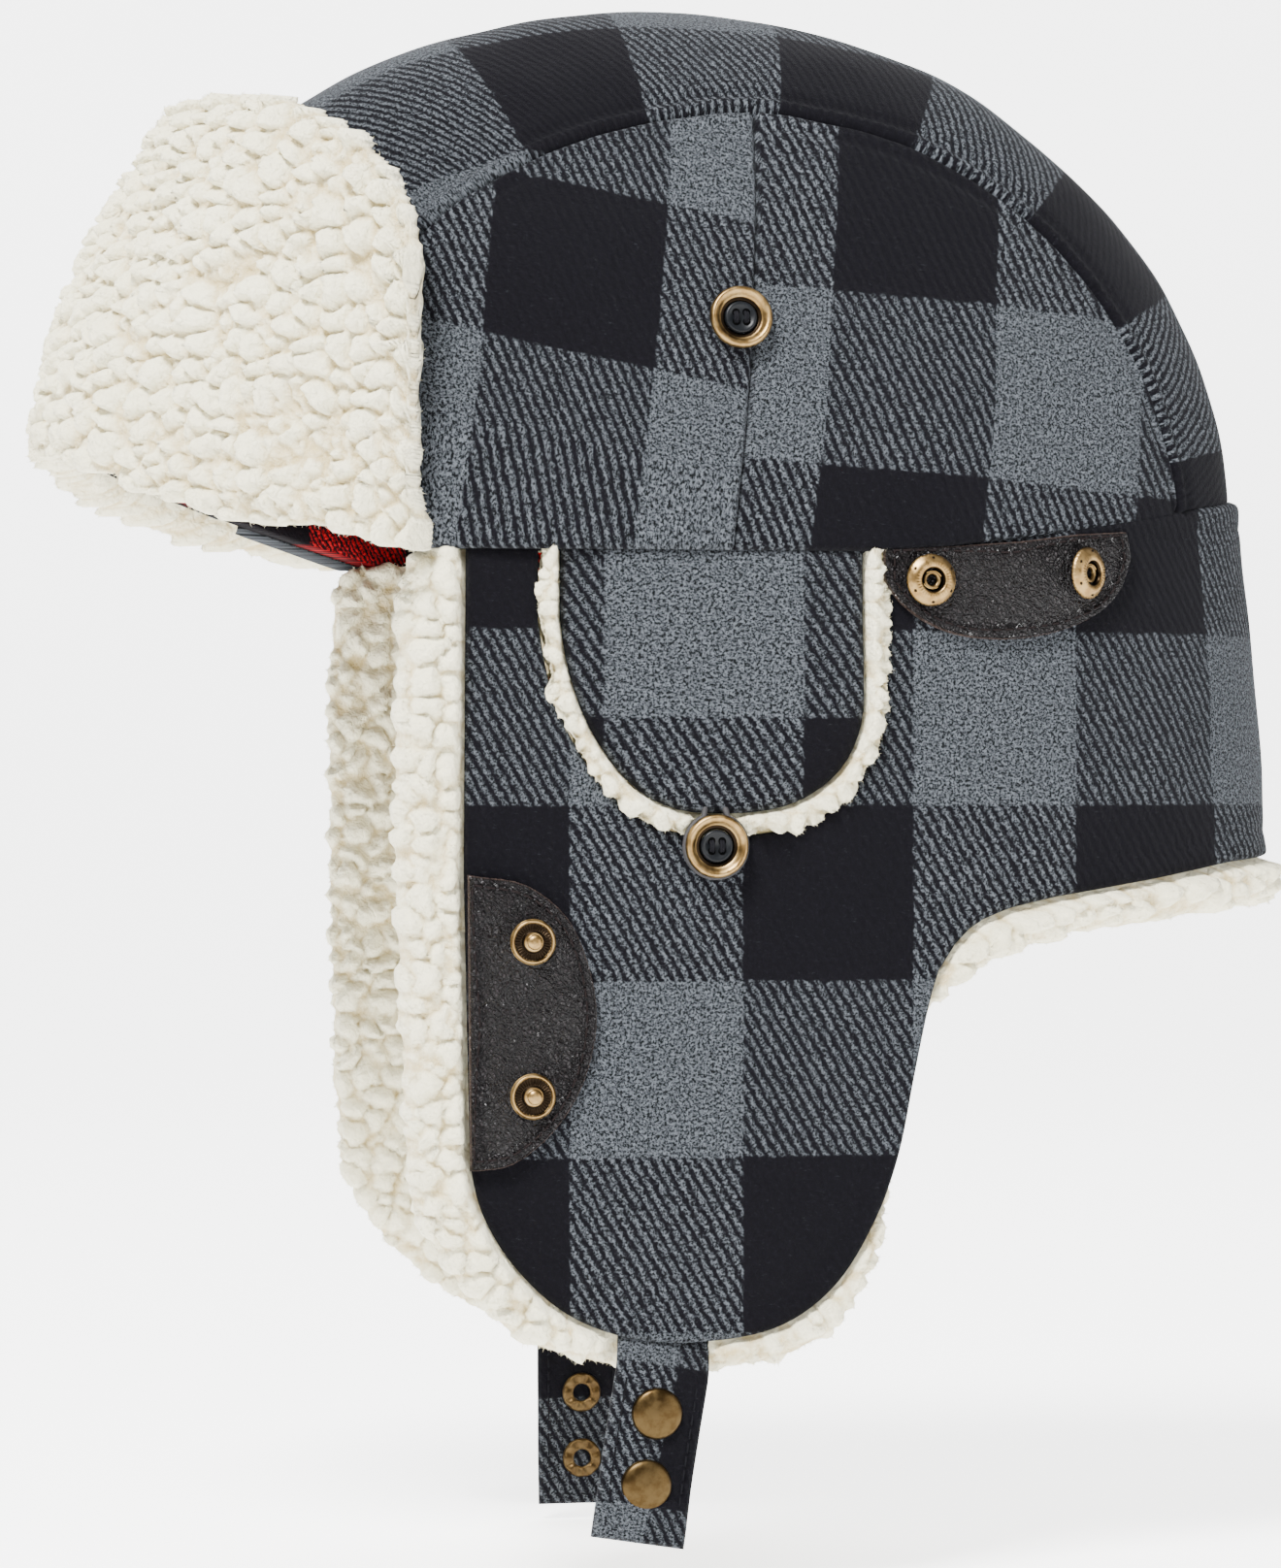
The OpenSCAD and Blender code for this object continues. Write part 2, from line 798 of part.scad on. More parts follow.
module strap(x, slant, length) {
  strap_place(x, slant) {
    translate([-strap_w / 2, -strap_t / 2, -length]) cube([strap_w, strap_t, length]);
    translate([-strap_w / 2, 0, 0]) rotate([0, 90, 0])
      cylinder(d = strap_t, h = strap_w, $fn = 24);
  }
}

module along_strap(x, slant, drop, face) {
  strap_place(x, slant)
    for (k = [0, 1])
      facing([0, face * (strap_t / 2 + 0.15), -drop - k * snap_pitch], [0, face, 0])
        children();
}

module left_strap() {
  color(wool) strap(left_strap_x, -left_strap_slant, left_strap_l);
}

module right_strap() {
  color(wool) sided(-1) strap(right_strap_x, 0, right_strap_l);
}

module left_strap_caps() {
  color(brass) along_strap(left_strap_x, -left_strap_slant, left_snap_drop, 1) cap();
}

module left_strap_sockets() {
  color(brass) along_strap(left_strap_x, -left_strap_slant, left_snap_drop, -1) socket();
}

module right_strap_studs() {
  color(brass) sided(-1) along_strap(right_strap_x, 0, right_snap_drop, 1) stud();
}

module right_strap_eyelets() {
  color(brass) sided(-1) along_strap(right_strap_x, 0, right_snap_drop, -1) eyelet();
}

crown_top_panel();
crown_left_front_panel();
crown_left_rear_panel();
crown_right_front_panel();
crown_right_rear_panel();
crown_wadding();
crown_lining();
neck_flap_shell();
neck_flap_sherpa();
left_rear_patch();
right_rear_patch();
left_rear_sockets();
right_rear_sockets();
left_crown_button_rim();
right_crown_button_rim();
left_crown_button_core();
right_crown_button_core();
left_crown_button_thread();
right_crown_button_thread();
visor_backing();
visor_sherpa();
visor_left_wing_backing();
visor_right_wing_backing();
visor_left_wing_sherpa();
visor_right_wing_sherpa();
left_earflap_shell();
right_earflap_shell();
left_earflap_sherpa();
right_earflap_sherpa();
left_front_patch();
right_front_patch();
left_front_studs();
right_front_studs();
left_lower_button_rim();
right_lower_button_rim();
left_lower_button_core();
right_lower_button_core();
left_lower_button_thread();
right_lower_button_thread();
left_strap_tab();
right_strap_tab();
left_port_flap_shell();
right_port_flap_shell();
left_port_flap_sherpa();
right_port_flap_sherpa();
left_button_loop();
right_button_loop();
left_strap();
right_strap();
left_strap_caps();
left_strap_sockets();
right_strap_studs();
right_strap_eyelets();
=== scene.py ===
"""A plaid wool trapper hat with a sherpa lining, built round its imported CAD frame."""
import json
import math

import bpy
import numpy as np
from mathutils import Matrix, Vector
from mathutils.geometry import delaunay_2d_cdt

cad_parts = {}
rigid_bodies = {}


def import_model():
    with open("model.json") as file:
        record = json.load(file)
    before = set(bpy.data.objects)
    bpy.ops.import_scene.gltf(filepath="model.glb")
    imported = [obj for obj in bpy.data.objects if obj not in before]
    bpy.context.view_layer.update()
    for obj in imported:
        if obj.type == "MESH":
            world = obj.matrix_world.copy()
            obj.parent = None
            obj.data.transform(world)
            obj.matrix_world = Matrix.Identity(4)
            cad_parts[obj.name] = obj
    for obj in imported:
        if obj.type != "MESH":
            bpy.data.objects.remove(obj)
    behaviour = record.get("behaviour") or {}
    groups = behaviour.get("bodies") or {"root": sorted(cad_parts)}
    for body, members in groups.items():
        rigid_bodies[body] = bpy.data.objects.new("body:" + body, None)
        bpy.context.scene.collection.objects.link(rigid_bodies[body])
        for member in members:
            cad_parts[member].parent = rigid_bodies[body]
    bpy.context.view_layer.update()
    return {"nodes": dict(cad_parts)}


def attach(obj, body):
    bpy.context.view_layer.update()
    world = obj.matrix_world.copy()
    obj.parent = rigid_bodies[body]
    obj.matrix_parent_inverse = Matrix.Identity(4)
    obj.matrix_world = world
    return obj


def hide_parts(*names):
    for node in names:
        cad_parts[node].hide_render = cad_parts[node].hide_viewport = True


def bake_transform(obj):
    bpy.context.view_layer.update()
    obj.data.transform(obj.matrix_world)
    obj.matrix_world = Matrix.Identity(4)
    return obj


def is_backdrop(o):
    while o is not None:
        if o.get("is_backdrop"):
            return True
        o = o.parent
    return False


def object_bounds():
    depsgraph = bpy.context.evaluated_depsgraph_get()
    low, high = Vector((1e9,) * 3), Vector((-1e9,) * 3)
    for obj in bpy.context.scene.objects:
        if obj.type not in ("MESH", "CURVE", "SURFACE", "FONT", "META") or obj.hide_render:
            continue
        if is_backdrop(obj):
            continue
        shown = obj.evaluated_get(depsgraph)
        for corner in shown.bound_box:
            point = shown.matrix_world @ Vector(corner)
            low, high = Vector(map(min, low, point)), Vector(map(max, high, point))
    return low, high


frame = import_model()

# ---------------------------------------------------------------- dimensions
# The frame's own design sizes, in millimetres. Meshes are made in millimetres
# and scaled to metres when they are stored.
MM = 0.001
CROWN_A, CROWN_B, CROWN_H, CROWN_X = 147.0, 72.0, 136.0, -3.0
PLAN_E, RISE_E = 2.6, 2.1
HEM_BACK, HEM_FRONT = 14.8, 27.0
WOOL_T, PILE_T = 3.0, 10.0
SKIRT_Y = 68.0
FLAP_LOW, FLAP_FRONT = -190.0, 55.5
PILE_FRONT, PILE_LOW = 15.0, 6.8
FOLD_X, FOLD_Z, FOLD_SLOPE = -5.85, -51.55, 0.918
NECK_X, NECK_BACK, NECK_FLARE, NECK_E = -46.8, 108.0, 0.09, 2.2
TOP_GAP = 0.6
TOP_BACK, TOP_FRONT, SIDE_SEAM = 6.0, 168.0, 82.0
VISOR_T, VISOR_LEAN, VISOR_TOP = 13.0, 8.0, 108.5
VISOR_BEND, VISOR_END = 27.5, 61.5
VISOR_SIDE, VISOR_TUFT = 65.2, 4.6
PITCH = 42.0  # width of one band of the check
STRAP_W, STRAP_Y, STRAP_Z = 22.5, 68.5, -199.8
# Each strap: its x, its slant in degrees, its length and how far its end stands off.
LEFT_STRAP, RIGHT_STRAP = (8.5, -9.0, 38.0, 1.5), (3.0, 0.0, 47.0, -1.5)
STRAP_FACE = 1.5  # from a strap's middle to its face
EYELET_PROUD = 0.6  # keeps the eyelets clear of the cloth
LOOP_T = 1.6  # the elastic loop's thickness

rng = np.random.default_rng(7)


# ---------------------------------------------------------------- numbers
def lattice(i, j, k, seed):
    """A fixed random number from 0 to 1 for each whole-number cell."""
    n = i * 374761393 + j * 668265263 + k * 1440670441 + seed * 974634777
    n = (n ^ (n >> 13)) & 0x7FFFFFFF
    n = (n * 1274126177) & 0x7FFFFFFF
    n = n ^ (n >> 16)
    return (n & 0xFFFFF) / 0xFFFFF


def smooth_noise(p, size, seed):
    """Soft noise from -1 to 1 with lumps of the given size."""
    q = p / size
    base = np.floor(q).astype(np.int64)
    f = q - base
    f = f * f * (3 - 2 * f)
    total = np.zeros(len(p))
    for dx in (0, 1):
        for dy in (0, 1):
            for dz in (0, 1):
                w = ((f[:, 0] if dx else 1 - f[:, 0])
                     * (f[:, 1] if dy else 1 - f[:, 1])
                     * (f[:, 2] if dz else 1 - f[:, 2]))
                cell = lattice(base[:, 0] + dx, base[:, 1] + dy, base[:, 2] + dz, seed)
                total += w * cell
    return total * 2 - 1


def cells(p, size, seed):
    """Distances to the nearest and second nearest of scattered points, in cells."""
    q = p / size
    base = np.floor(q).astype(np.int64)
    near = np.full(len(p), 9.0)
    second = np.full(len(p), 9.0)
    for dx in (-1, 0, 1):
        for dy in (-1, 0, 1):
            for dz in (-1, 0, 1):
                c = base + (dx, dy, dz)
                spot = np.stack([lattice(c[:, 0], c[:, 1], c[:, 2], seed + n)
                                 for n in (1, 2, 3)], 1)
                d = np.linalg.norm(c + 0.15 + 0.7 * spot - q, axis=1)
                second = np.minimum(second, np.maximum(near, d))
                near = np.minimum(near, d)
    return near, second


def step(low, high, x):
    """0 below low, 1 above high, and smooth between."""
    t = np.clip((x - low) / (high - low), 0, 1)
    return t * t * (3 - 2 * t)


def dome(d, radius):
    """0 at an edge, 1 from radius inwards, along a quarter circle."""
    t = 1 - np.clip(d / radius, 0, 1)
    return np.sqrt(np.maximum(0, 1 - t * t))


def tufts(p, seed, big=6.2, small=2.7):
    """Height of the sherpa's curled tufts at points p, 0 to about 1."""
    warp = np.stack([smooth_noise(p, 6.0, seed + n) for n in (11, 12, 13)], 1)
    curl = np.stack([smooth_noise(p, 2.6, seed + n) for n in (14, 15, 16)], 1)
    q = p + 2.2 * warp + 0.7 * curl
    near, second = cells(q, big, seed)
    lump = np.sqrt(np.clip(1 - (near / 0.82) ** 2, 0, 1))
    crease = step(0, 0.42, second - near)
    near2, second2 = cells(q + 0.9 * curl, small, seed + 40)
    knot = np.sqrt(np.clip(1 - (near2 / 0.85) ** 2, 0, 1)) * (0.4 + 0.6 * step(
        0, 0.4, second2 - near2))
    return 0.8 * lump * (0.2 + 0.8 * crease) + 0.2 * knot


# ---------------------------------------------------------------- outlines
def curve(points, n=6):
    """A smooth open curve through the points."""
    p = [np.array(q, float) for q in points]
    out = []
    for i in range(len(p) - 1):
        a, b, c, d = p[max(i - 1, 0)], p[i], p[i + 1], p[min(i + 2, len(p) - 1)]
        for k in range(n):
            t = k / n
            out.append(b + 0.5 * t * ((c - a) + t * ((2 * a - 5 * b + 4 * c - d)
                                                     + t * (3 * b - 3 * c + d - a))))
    out.append(p[-1])
    return [tuple(q) for q in out]


def resample(points, gap, closed=True):
    """The same outline with points a steady gap apart, its corners kept."""
    p = np.array(points, float)
    if closed:
        p = np.vstack([p, p[:1]])
    out = []
    for a, b in zip(p[:-1], p[1:]):
        n = max(1, int(math.ceil(np.linalg.norm(b - a) / gap - 0.35)))
        out += [a + (b - a) * k / n for k in range(n)]
    if not closed:
        out.append(p[-1])
    out = np.array(out)
    keep = [0]
    for i in range(1, len(out)):
        if np.linalg.norm(out[i] - out[keep[-1]]) > 0.35 * gap:
            keep.append(i)
    if closed and np.linalg.norm(out[keep[-1]] - out[0]) < 0.35 * gap:
        keep.pop()
    return out[keep]


def edge_distance(p, outline, closed=True):
    """Distance of each point from an outline."""
    a = np.asarray(outline, float)
    b = np.roll(a, -1, 0) if closed else a[1:]
    a = a if closed else a[:-1]
    best = np.full(len(p), 1e9)
    for lo in range(0, len(p), 4000):
        q = p[lo:lo + 4000, None, :]
        ab = b - a
        t = np.clip(((q - a) * ab).sum(2) / np.maximum((ab * ab).sum(1), 1e-9), 0, 1)
        d = np.linalg.norm(q - (a + t[..., None] * ab), axis=2)
        best[lo:lo + 4000] = d.min(1)
    return best


def inside(p, outline):
    a = np.asarray(outline, float)
    b = np.roll(a, -1, 0)
    hit = np.zeros(len(p), bool)
    for (x0, z0), (x1, z1) in zip(a, b):
        if z0 == z1:
            continue
        cross = (z0 > p[:, 1]) != (z1 > p[:, 1])
        x = x0 + (p[:, 1] - z0) * (x1 - x0) / (z1 - z0)
        hit ^= cross & (p[:, 0] < x)
    return hit


def region(outline, holes=(), gap=1.2, rings=()):
    """Points and triangles that fill an outline less its holes."""
    loops = [resample(outline, gap)] + [resample(h, gap) for h in holes]
    lo = loops[0].min(0)
    hi = loops[0].max(0)
    xs = np.arange(lo[0] + gap / 2, hi[0], gap)
    zs = np.arange(lo[1] + gap / 2, hi[1], gap * 0.87)
    gx, gz = np.meshgrid(xs, zs)
    gx = gx + (np.arange(len(zs)) % 2)[:, None] * gap / 2
    grid = np.stack([gx.ravel(), gz.ravel()], 1)
    grid = grid + rng.uniform(-0.12, 0.12, grid.shape) * gap
    for ring in rings:
        for loop in loops:
            a = np.roll(loop, 1, 0)
            b = np.roll(loop, -1, 0)
            t = b - a
            n = np.stack([-t[:, 1], t[:, 0]], 1)
            n /= np.maximum(np.linalg.norm(n, axis=1), 1e-9)[:, None]
            grid = np.vstack([loop + n * ring, loop - n * ring, grid])
    ok = inside(grid, loops[0])
    for loop in loops[1:]:
        ok &= ~inside(grid, loop)
    grid = grid[ok]
    near = np.minimum.reduce([edge_distance(grid, loop) for loop in loops])
    least = min(rings) * 0.8 if rings else gap * 0.55
    grid = grid[near > least]
    points, edges = [], []
    for loop in loops:
        n0 = len(points)
        points += [tuple(q) for q in loop]
        edges += [(n0 + i, n0 + (i + 1) % len(loop)) for i in range(len(loop))]
    points += [tuple(q) for q in grid]
    made = delaunay_2d_cdt([Vector(q) for q in points], edges, [], 1, 1e-5)
    pts = np.array([tuple(v) for v in made[0]])
    tris = np.array([f for f in made[2] if len(f) == 3])
    centre = pts[tris].mean(1)
    ok = inside(centre, loops[0])
    for loop in loops[1:]:
        ok &= ~inside(centre, loop)
    tris = tris[ok]
    a, b, c = pts[tris[:, 0]], pts[tris[:, 1]], pts[tris[:, 2]]
    area = (b[:, 0] - a[:, 0]) * (c[:, 1] - a[:, 1]) - (b[:, 1] - a[:, 1]) * (c[:, 0] - a[:, 0])
    tris[area < 0] = tris[area < 0][:, ::-1]
    return pts, tris, loops


# ---------------------------------------------------------------- meshes
def store(name, points, faces, material, cloth=None, tone=None):
    """A new object from points in millimetres and faces of three or four corners."""
    mesh = bpy.data.meshes.new(name)
    mesh.from_pydata((np.asarray(points) * MM).tolist(), [], [list(f) for f in faces])
    mesh.validate()
    mesh.update()
    if cloth is not None:
        layer = mesh.attributes.new("cloth", "FLOAT_VECTOR", "POINT")
        data = np.zeros((len(mesh.vertices), 3), np.float32)
        data[:, :2] = cloth
        layer.data.foreach_set("vector", data.ravel())
    if tone is not None:
        layer = mesh.attributes.new("tone", "FLOAT", "POINT")
        layer.data.foreach_set("value", np.asarray(tone, np.float32))
    mesh.shade_smooth()
    piece = bpy.data.objects.new(name, mesh)
    piece.data.materials.append(material)
    bpy.context.scene.collection.objects.link(piece)
    return piece


def closed(front, back, faces):
    """Points and faces of a closed body between a front and a back sheet."""
    n = len(front)
    faces = [tuple(int(i) for i in f) for f in faces]
    edges = {}
    for f in faces:
        for a, b in zip(f, f[1:] + f[:1]):
            edges[(a, b)] = True
    rim = [(a, b) for a, b in edges if (b, a) not in edges]
    walls = [(b, a, a + n, b + n) for a, b in rim]
    backs = [tuple(i + n for i in reversed(f)) for f in faces]
    return np.vstack([front, back]), faces + backs + walls


def grid_faces(rows, cols):
    """Four-cornered faces of a grid of points."""
    r, c = np.meshgrid(np.arange(rows - 1), np.arange(cols - 1), indexing="ij")
    a = (r * cols + c).ravel()
    return np.stack([a, a + 1, a + cols + 1, a + cols], 1)


def outward(points, faces, axis_point):
    """Turns the faces round if the first sheet's normals point inwards."""
    f = np.array([q[:3] for q in faces[:200]])
    a, b, c = points[f[:, 0]], points[f[:, 1]], points[f[:, 2]]
    normal = np.cross(b - a, c - a)
    if ((a - axis_point) * normal).sum() < 0:
        return [tuple(reversed(q)) for q in faces]
    return faces


def mirrored(points, side):
    """The points, mirrored to the right side if side is -1."""
    p = np.array(points, float)
    if side < 0:
        p[:, 1] *= -1
    return p


def shell(front, back, faces, middle, side=1):
    """A closed sheet on one side of the hat, its faces turned away from middle."""
    points, faces = closed(front, back, faces)
    points = mirrored(points, side)
    return points, outward(points, faces, np.array(middle))


# ---------------------------------------------------------------- surfaces
def hem(x):
    """Height of the crown's lower edge at x."""
    front = HEM_FRONT * np.minimum(1, np.maximum(0, x - 64) / 80)
    back = HEM_BACK * np.minimum(1, (np.maximum(0, -45 - x) / 105) ** 1.2)
    return front + back


def on_crown(d, inset=0.0):
    """Points of the crown's surface in the directions d, moved in by inset."""
    inset = np.asarray(inset, float)
    r = ((np.abs(d[:, 0]) / (CROWN_A - inset)) ** PLAN_E
         + (np.abs(d[:, 1]) / (CROWN_B - inset)) ** PLAN_E) ** (RISE_E / PLAN_E)
    k = (r + (np.abs(d[:, 2]) / (CROWN_H - inset)) ** RISE_E) ** (-1 / RISE_E)
    return d * k[:, None] + (CROWN_X, 0, 0)


def top_dir(v, w):
    """A direction to the top strip: v degrees along it, w from -1 to 1 across."""
    reach = 58 + 22 * np.clip((v - 80) / 50, 0, 1) ** 1.3
    a = np.radians(v)
    return np.stack([-CROWN_A * np.cos(a), w * reach, CROWN_H * np.sin(a)], 1)


def hem_dir(v):
    """A direction to the hem, for the angle v along the top seam."""
    b = np.where(v < SIDE_SEAM, 39 + (v - TOP_BACK) * 48.6 / (SIDE_SEAM - TOP_BACK),
                 87.6 + (v - SIDE_SEAM) * 42.4 / (TOP_FRONT - SIDE_SEAM))
    b = np.radians(b)
    x = -CROWN_A * np.cos(b)
    return np.stack([x, CROWN_B * np.sin(b), hem(CROWN_X + x)], 1)


def neck_xy(a, z, inset):
    back = NECK_BACK - NECK_FLARE * z - inset
    wide = SKIRT_Y - inset
    c, s = np.cos(a), np.sin(a)
    r = ((np.abs(c) / back) ** NECK_E + (np.abs(s) / wide) ** NECK_E) ** (-1 / NECK_E)
    return NECK_X + r * c, r * s


turn = np.radians(np.linspace(90, 180, 400))
turn_x, turn_y = neck_xy(turn, np.zeros(400), 0)
turn_s = NECK_X - np.concatenate([[0], np.cumsum(np.hypot(np.diff(turn_x), np.diff(turn_y)))])
SKIRT_END = turn_s[-1]


def skirt(p, inset):
    """Points of the left skirt: p is (distance along, height), moved in by inset."""
    s, z = p[:, 0], p[:, 1]
    a = np.interp(-s, -turn_s, turn)
    cx, cy = neck_xy(a, z, inset)
    bent = s < NECK_X
    x = np.where(bent, cx, s)
    y = np.where(bent, cy, SKIRT_Y - inset)
    return np.stack([x, y, z], 1)


def along(x):
    """Distance along the skirt for a place x behind the ear."""
    x = np.asarray(x, float)
    return np.where(x < NECK_X, np.interp(-x, -turn_x, turn_s), x)


def fold(x):
    return FOLD_Z + FOLD_SLOPE * (x - FOLD_X)


# ---------------------------------------------------------------- materials
class Shader:
    """A material's nodes, made one after another."""

    def __init__(self, name, **constants):
        self.material = bpy.data.materials.new(name)
        self.material.use_nodes = True
        self.tree = self.material.node_tree
        self.bsdf = self.tree.nodes["Principled BSDF"]
        for key, value in constants.items():
            self.bsdf.inputs[key.replace("_", " ")].default_value = value

    def add(self, kind, settings=None, **inputs):
        node = self.tree.nodes.new("ShaderNode" + kind)
        for key, value in (settings or {}).items():
            setattr(node, key, value)
        for key, value in inputs.items():
            socket = node.inputs[int(key[1:])] if key[0] == "i" and key[1:].isdigit() \
                else node.inputs[key.replace("_", " ")]
            self.put(socket, value)
        return node

    def put(self, socket, value):
        if isinstance(value, bpy.types.NodeSocket):
            self.tree.links.new(value, socket)
        else:
            socket.default_value = value

    def math(self, operation, a, b=0.0, c=0.0):
        return self.add("Math", {"operation": operation}, i0=a, i1=b, i2=c).outputs[0]

    def noise(self, scale, vector=None, detail=2.0, roughness=0.5):
        node = self.add("TexNoise", Scale=scale, Detail=detail, Roughness=roughness)
        if vector is not None:
            self.put(node.inputs["Vector"], vector)
        return node.outputs["Fac"]

    def ramp(self, value, low, high, out_low=0.0, out_high=1.0):
        return self.add("MapRange", {"interpolation_type": "SMOOTHSTEP"}, Value=value,
                        From_Min=low, From_Max=high, To_Min=out_low,
                        To_Max=out_high).outputs[0]

    def mix(self, factor, a, b, blend="MIX"):
        node = self.add("Mix", {"data_type": "RGBA", "blend_type": blend})
        self.put(node.inputs[0], factor)
        self.put(node.inputs[6], a)
        self.put(node.inputs[7], b)
        return node.outputs[2]

    def coordinates(self):
        return self.add("TexCoord").outputs["Object"]

    def attribute(self, name, output="Vector"):
        return self.add("Attribute", {"attribute_name": name}).outputs[output]

    def bump(self, height, distance, strength=1.0, normal=None):
        node = self.add("Bump", Strength=strength, Distance=distance, Height=height)
        if normal is not None:
            self.put(node.inputs["Normal"], normal)
        return node.outputs["Normal"]

    def done(self, colour=None, roughness=None, normal=None):
        for socket, value in (("Base Color", colour), ("Roughness", roughness),
                              ("Normal", normal)):
            if value is not None:
                self.put(self.bsdf.inputs[socket], value)
        return self.material


CUT = {}  # the flat width and length of cloth pieces made on a grid, by name


def cut_size(name, grid):
    """Notes a cloth piece's flat size: its longest column and row, along the cloth."""
    along = np.linalg.norm(np.diff(grid, axis=0), axis=2).sum(0).max()
    across = np.linalg.norm(np.diff(grid, axis=1), axis=2).sum(1).max()
    CUT[name] = (float(along), float(across))


def check_cloth(name, dark, light, pitch=2.35, band=PITCH, fuzz=1.0):
    """Buffalo check in twill: where dark and light yarns cross, they show as lines."""
    m = Shader(name, Specular_IOR_Level=0.04, Sheen_Weight=0.03, Sheen_Roughness=0.5,
               Sheen_Tint=(0.7, 0.72, 0.75, 1))
    cloth = m.attribute("cloth")
    wobble = m.add("TexNoise", Scale=0.35, Detail=3.0, Roughness=0.6,
                   Vector=cloth).outputs["Color"]
    centred = m.add("VectorMath", {"operation": "SUBTRACT"}, i0=wobble,
                    i1=(0.5, 0.5, 0.5)).outputs[0]
    jitter = m.add("VectorMath", {"operation": "SCALE"}, i0=centred, Scale=1.8).outputs[0]
    moved = m.add("VectorMath", {"operation": "ADD"}, i0=cloth, i1=jitter).outputs[0]
    parts = m.add("SeparateXYZ", i0=moved)
    u, v = parts.outputs[0], parts.outputs[1]

    def bands(value):
        turns = m.math("FRACT", m.math("DIVIDE", value, 2 * band))
        up = m.ramp(turns, 0.0, 0.007)
        down = m.ramp(turns, 0.5, 0.507)
        return m.math("SUBTRACT", up, down)

    warp, weft = bands(u), bands(v)
    fibre = m.add("TexNoise", Scale=1.05, Detail=5.0, Roughness=0.85,
                  Vector=cloth).outputs["Fac"]
    fluff = m.add("TexNoise", Scale=0.55, Detail=2.0, Vector=cloth).outputs["Fac"]
    slant = m.math("SUBTRACT", m.math("MULTIPLY", u, 0.87 / pitch),
                   m.math("MULTIPLY", v, 0.5 / pitch))
    yarn = m.add("TexNoise", Scale=0.8, Detail=4.0, Roughness=0.7,
                 Vector=cloth).outputs["Fac"]
    slant = m.math("ADD", slant, m.math("MULTIPLY", yarn, 0.7))
    lines = m.math("SINE", m.math("MULTIPLY", slant, 2 * math.pi))
    ragged = m.math("ADD", lines, m.math("MULTIPLY", m.math("SUBTRACT", fibre, 0.5), 5.0))
    twill = m.ramp(ragged, -0.75, 0.95)
    grain = m.add("TexNoise", Scale=1.7, Detail=3.0, Roughness=0.7,
                  Vector=cloth).outputs["Fac"]
    mixed = m.math("ADD", m.math("MULTIPLY", fibre, 0.5), m.math("MULTIPLY", grain, 0.5))
    heather = m.ramp(mixed, 0.455, 0.55)
    patchy = m.ramp(fluff, 0.3, 0.7, 0.82, 1.15)
    pale = m.mix(heather, tuple(0.13 * c for c in light[:3]) + (1,),
                 tuple(3.0 * c for c in light[:3]) + (1,))
    light_yarn = m.mix(1.0, pale, m.add("CombineColor", i0=patchy, i1=patchy,
                                        i2=patchy).outputs[0], "MULTIPLY")
    dark_yarn = m.mix(m.ramp(fibre, 0.45, 0.78), dark,
                      tuple(2.6 * c for c in dark[:3]) + (1,))
    warp_colour = m.mix(warp, dark_yarn, light_yarn)
    weft_colour = m.mix(weft, dark_yarn, m.mix(0.12, light_yarn, dark))
    colour = m.mix(twill, weft_colour, warp_colour)
    stray = m.add("TexNoise", Scale=1.0, Detail=3.0, Roughness=0.7, Vector=m.add(
        "VectorMath", {"operation": "MULTIPLY"}, i0=moved,
        i1=(0.5, 1.9, 1.0)).outputs[0]).outputs["Fac"]
    colour = m.mix(m.math("MULTIPLY", m.ramp(stray, 0.62, 0.74), 0.35 * fuzz), colour,
                   tuple(1.3 * c for c in light[:3]) + (1,))
    rib = m.bump(m.math("ADD", m.math("MULTIPLY", lines, 0.22), fibre), 0.0007, 0.9)
    return m.done(colour, 0.95, rib)


def sherpa_cloth():
    """Cream pile, with shade painted darker down between its tufts."""
    m = Shader("sherpa", Specular_IOR_Level=0.08, Sheen_Weight=0.12, Sheen_Roughness=0.6)
    where = m.coordinates()
    height = m.attribute("tone", "Fac")
    drift = m.add("TexNoise", Scale=330.0, Detail=2.0, Vector=where).outputs["Color"]
    moved = m.add("VectorMath", {"operation": "ADD"}, i0=where, i1=m.add(
        "VectorMath", {"operation": "SCALE"}, i0=drift, Scale=0.0026).outputs[0]).outputs[0]
    knots = m.add("TexVoronoi", {"feature": "SMOOTH_F1"}, Scale=430.0, Smoothness=0.35,
                  Vector=moved).outputs["Distance"]
    curls = m.add("TexVoronoi", {"feature": "SMOOTH_F1"}, Scale=1150.0, Smoothness=0.3,
                  Vector=moved).outputs["Distance"]
    fibre = m.noise(2300.0, where, 3.0, 0.75)
    patch = m.noise(45.0, where, 2.0)
    top = m.mix(patch, (0.67, 0.62, 0.42, 1), (0.77, 0.73, 0.54, 1))
    # Painted shade: the hollows between tufts and knots are darkened to a warm tan.
    painted_shade_depth = m.math("SUBTRACT", height, m.math("MULTIPLY", knots, 0.22))
    colour = m.mix(m.ramp(painted_shade_depth, -0.08, 0.42), (0.46, 0.36, 0.17, 1), top)
    colour = m.mix(m.ramp(fibre, 0.42, 0.7, 0.0, 0.2), colour, (0.84, 0.82, 0.68, 1))
    relief = m.math("ADD", m.math("MULTIPLY", knots, -1.0), m.math("MULTIPLY", curls, -0.4))
    first = m.bump(relief, 0.001, 0.65)
    second = m.bump(fibre, 0.0003, 0.45, first)
    return m.done(colour, 0.95, second)


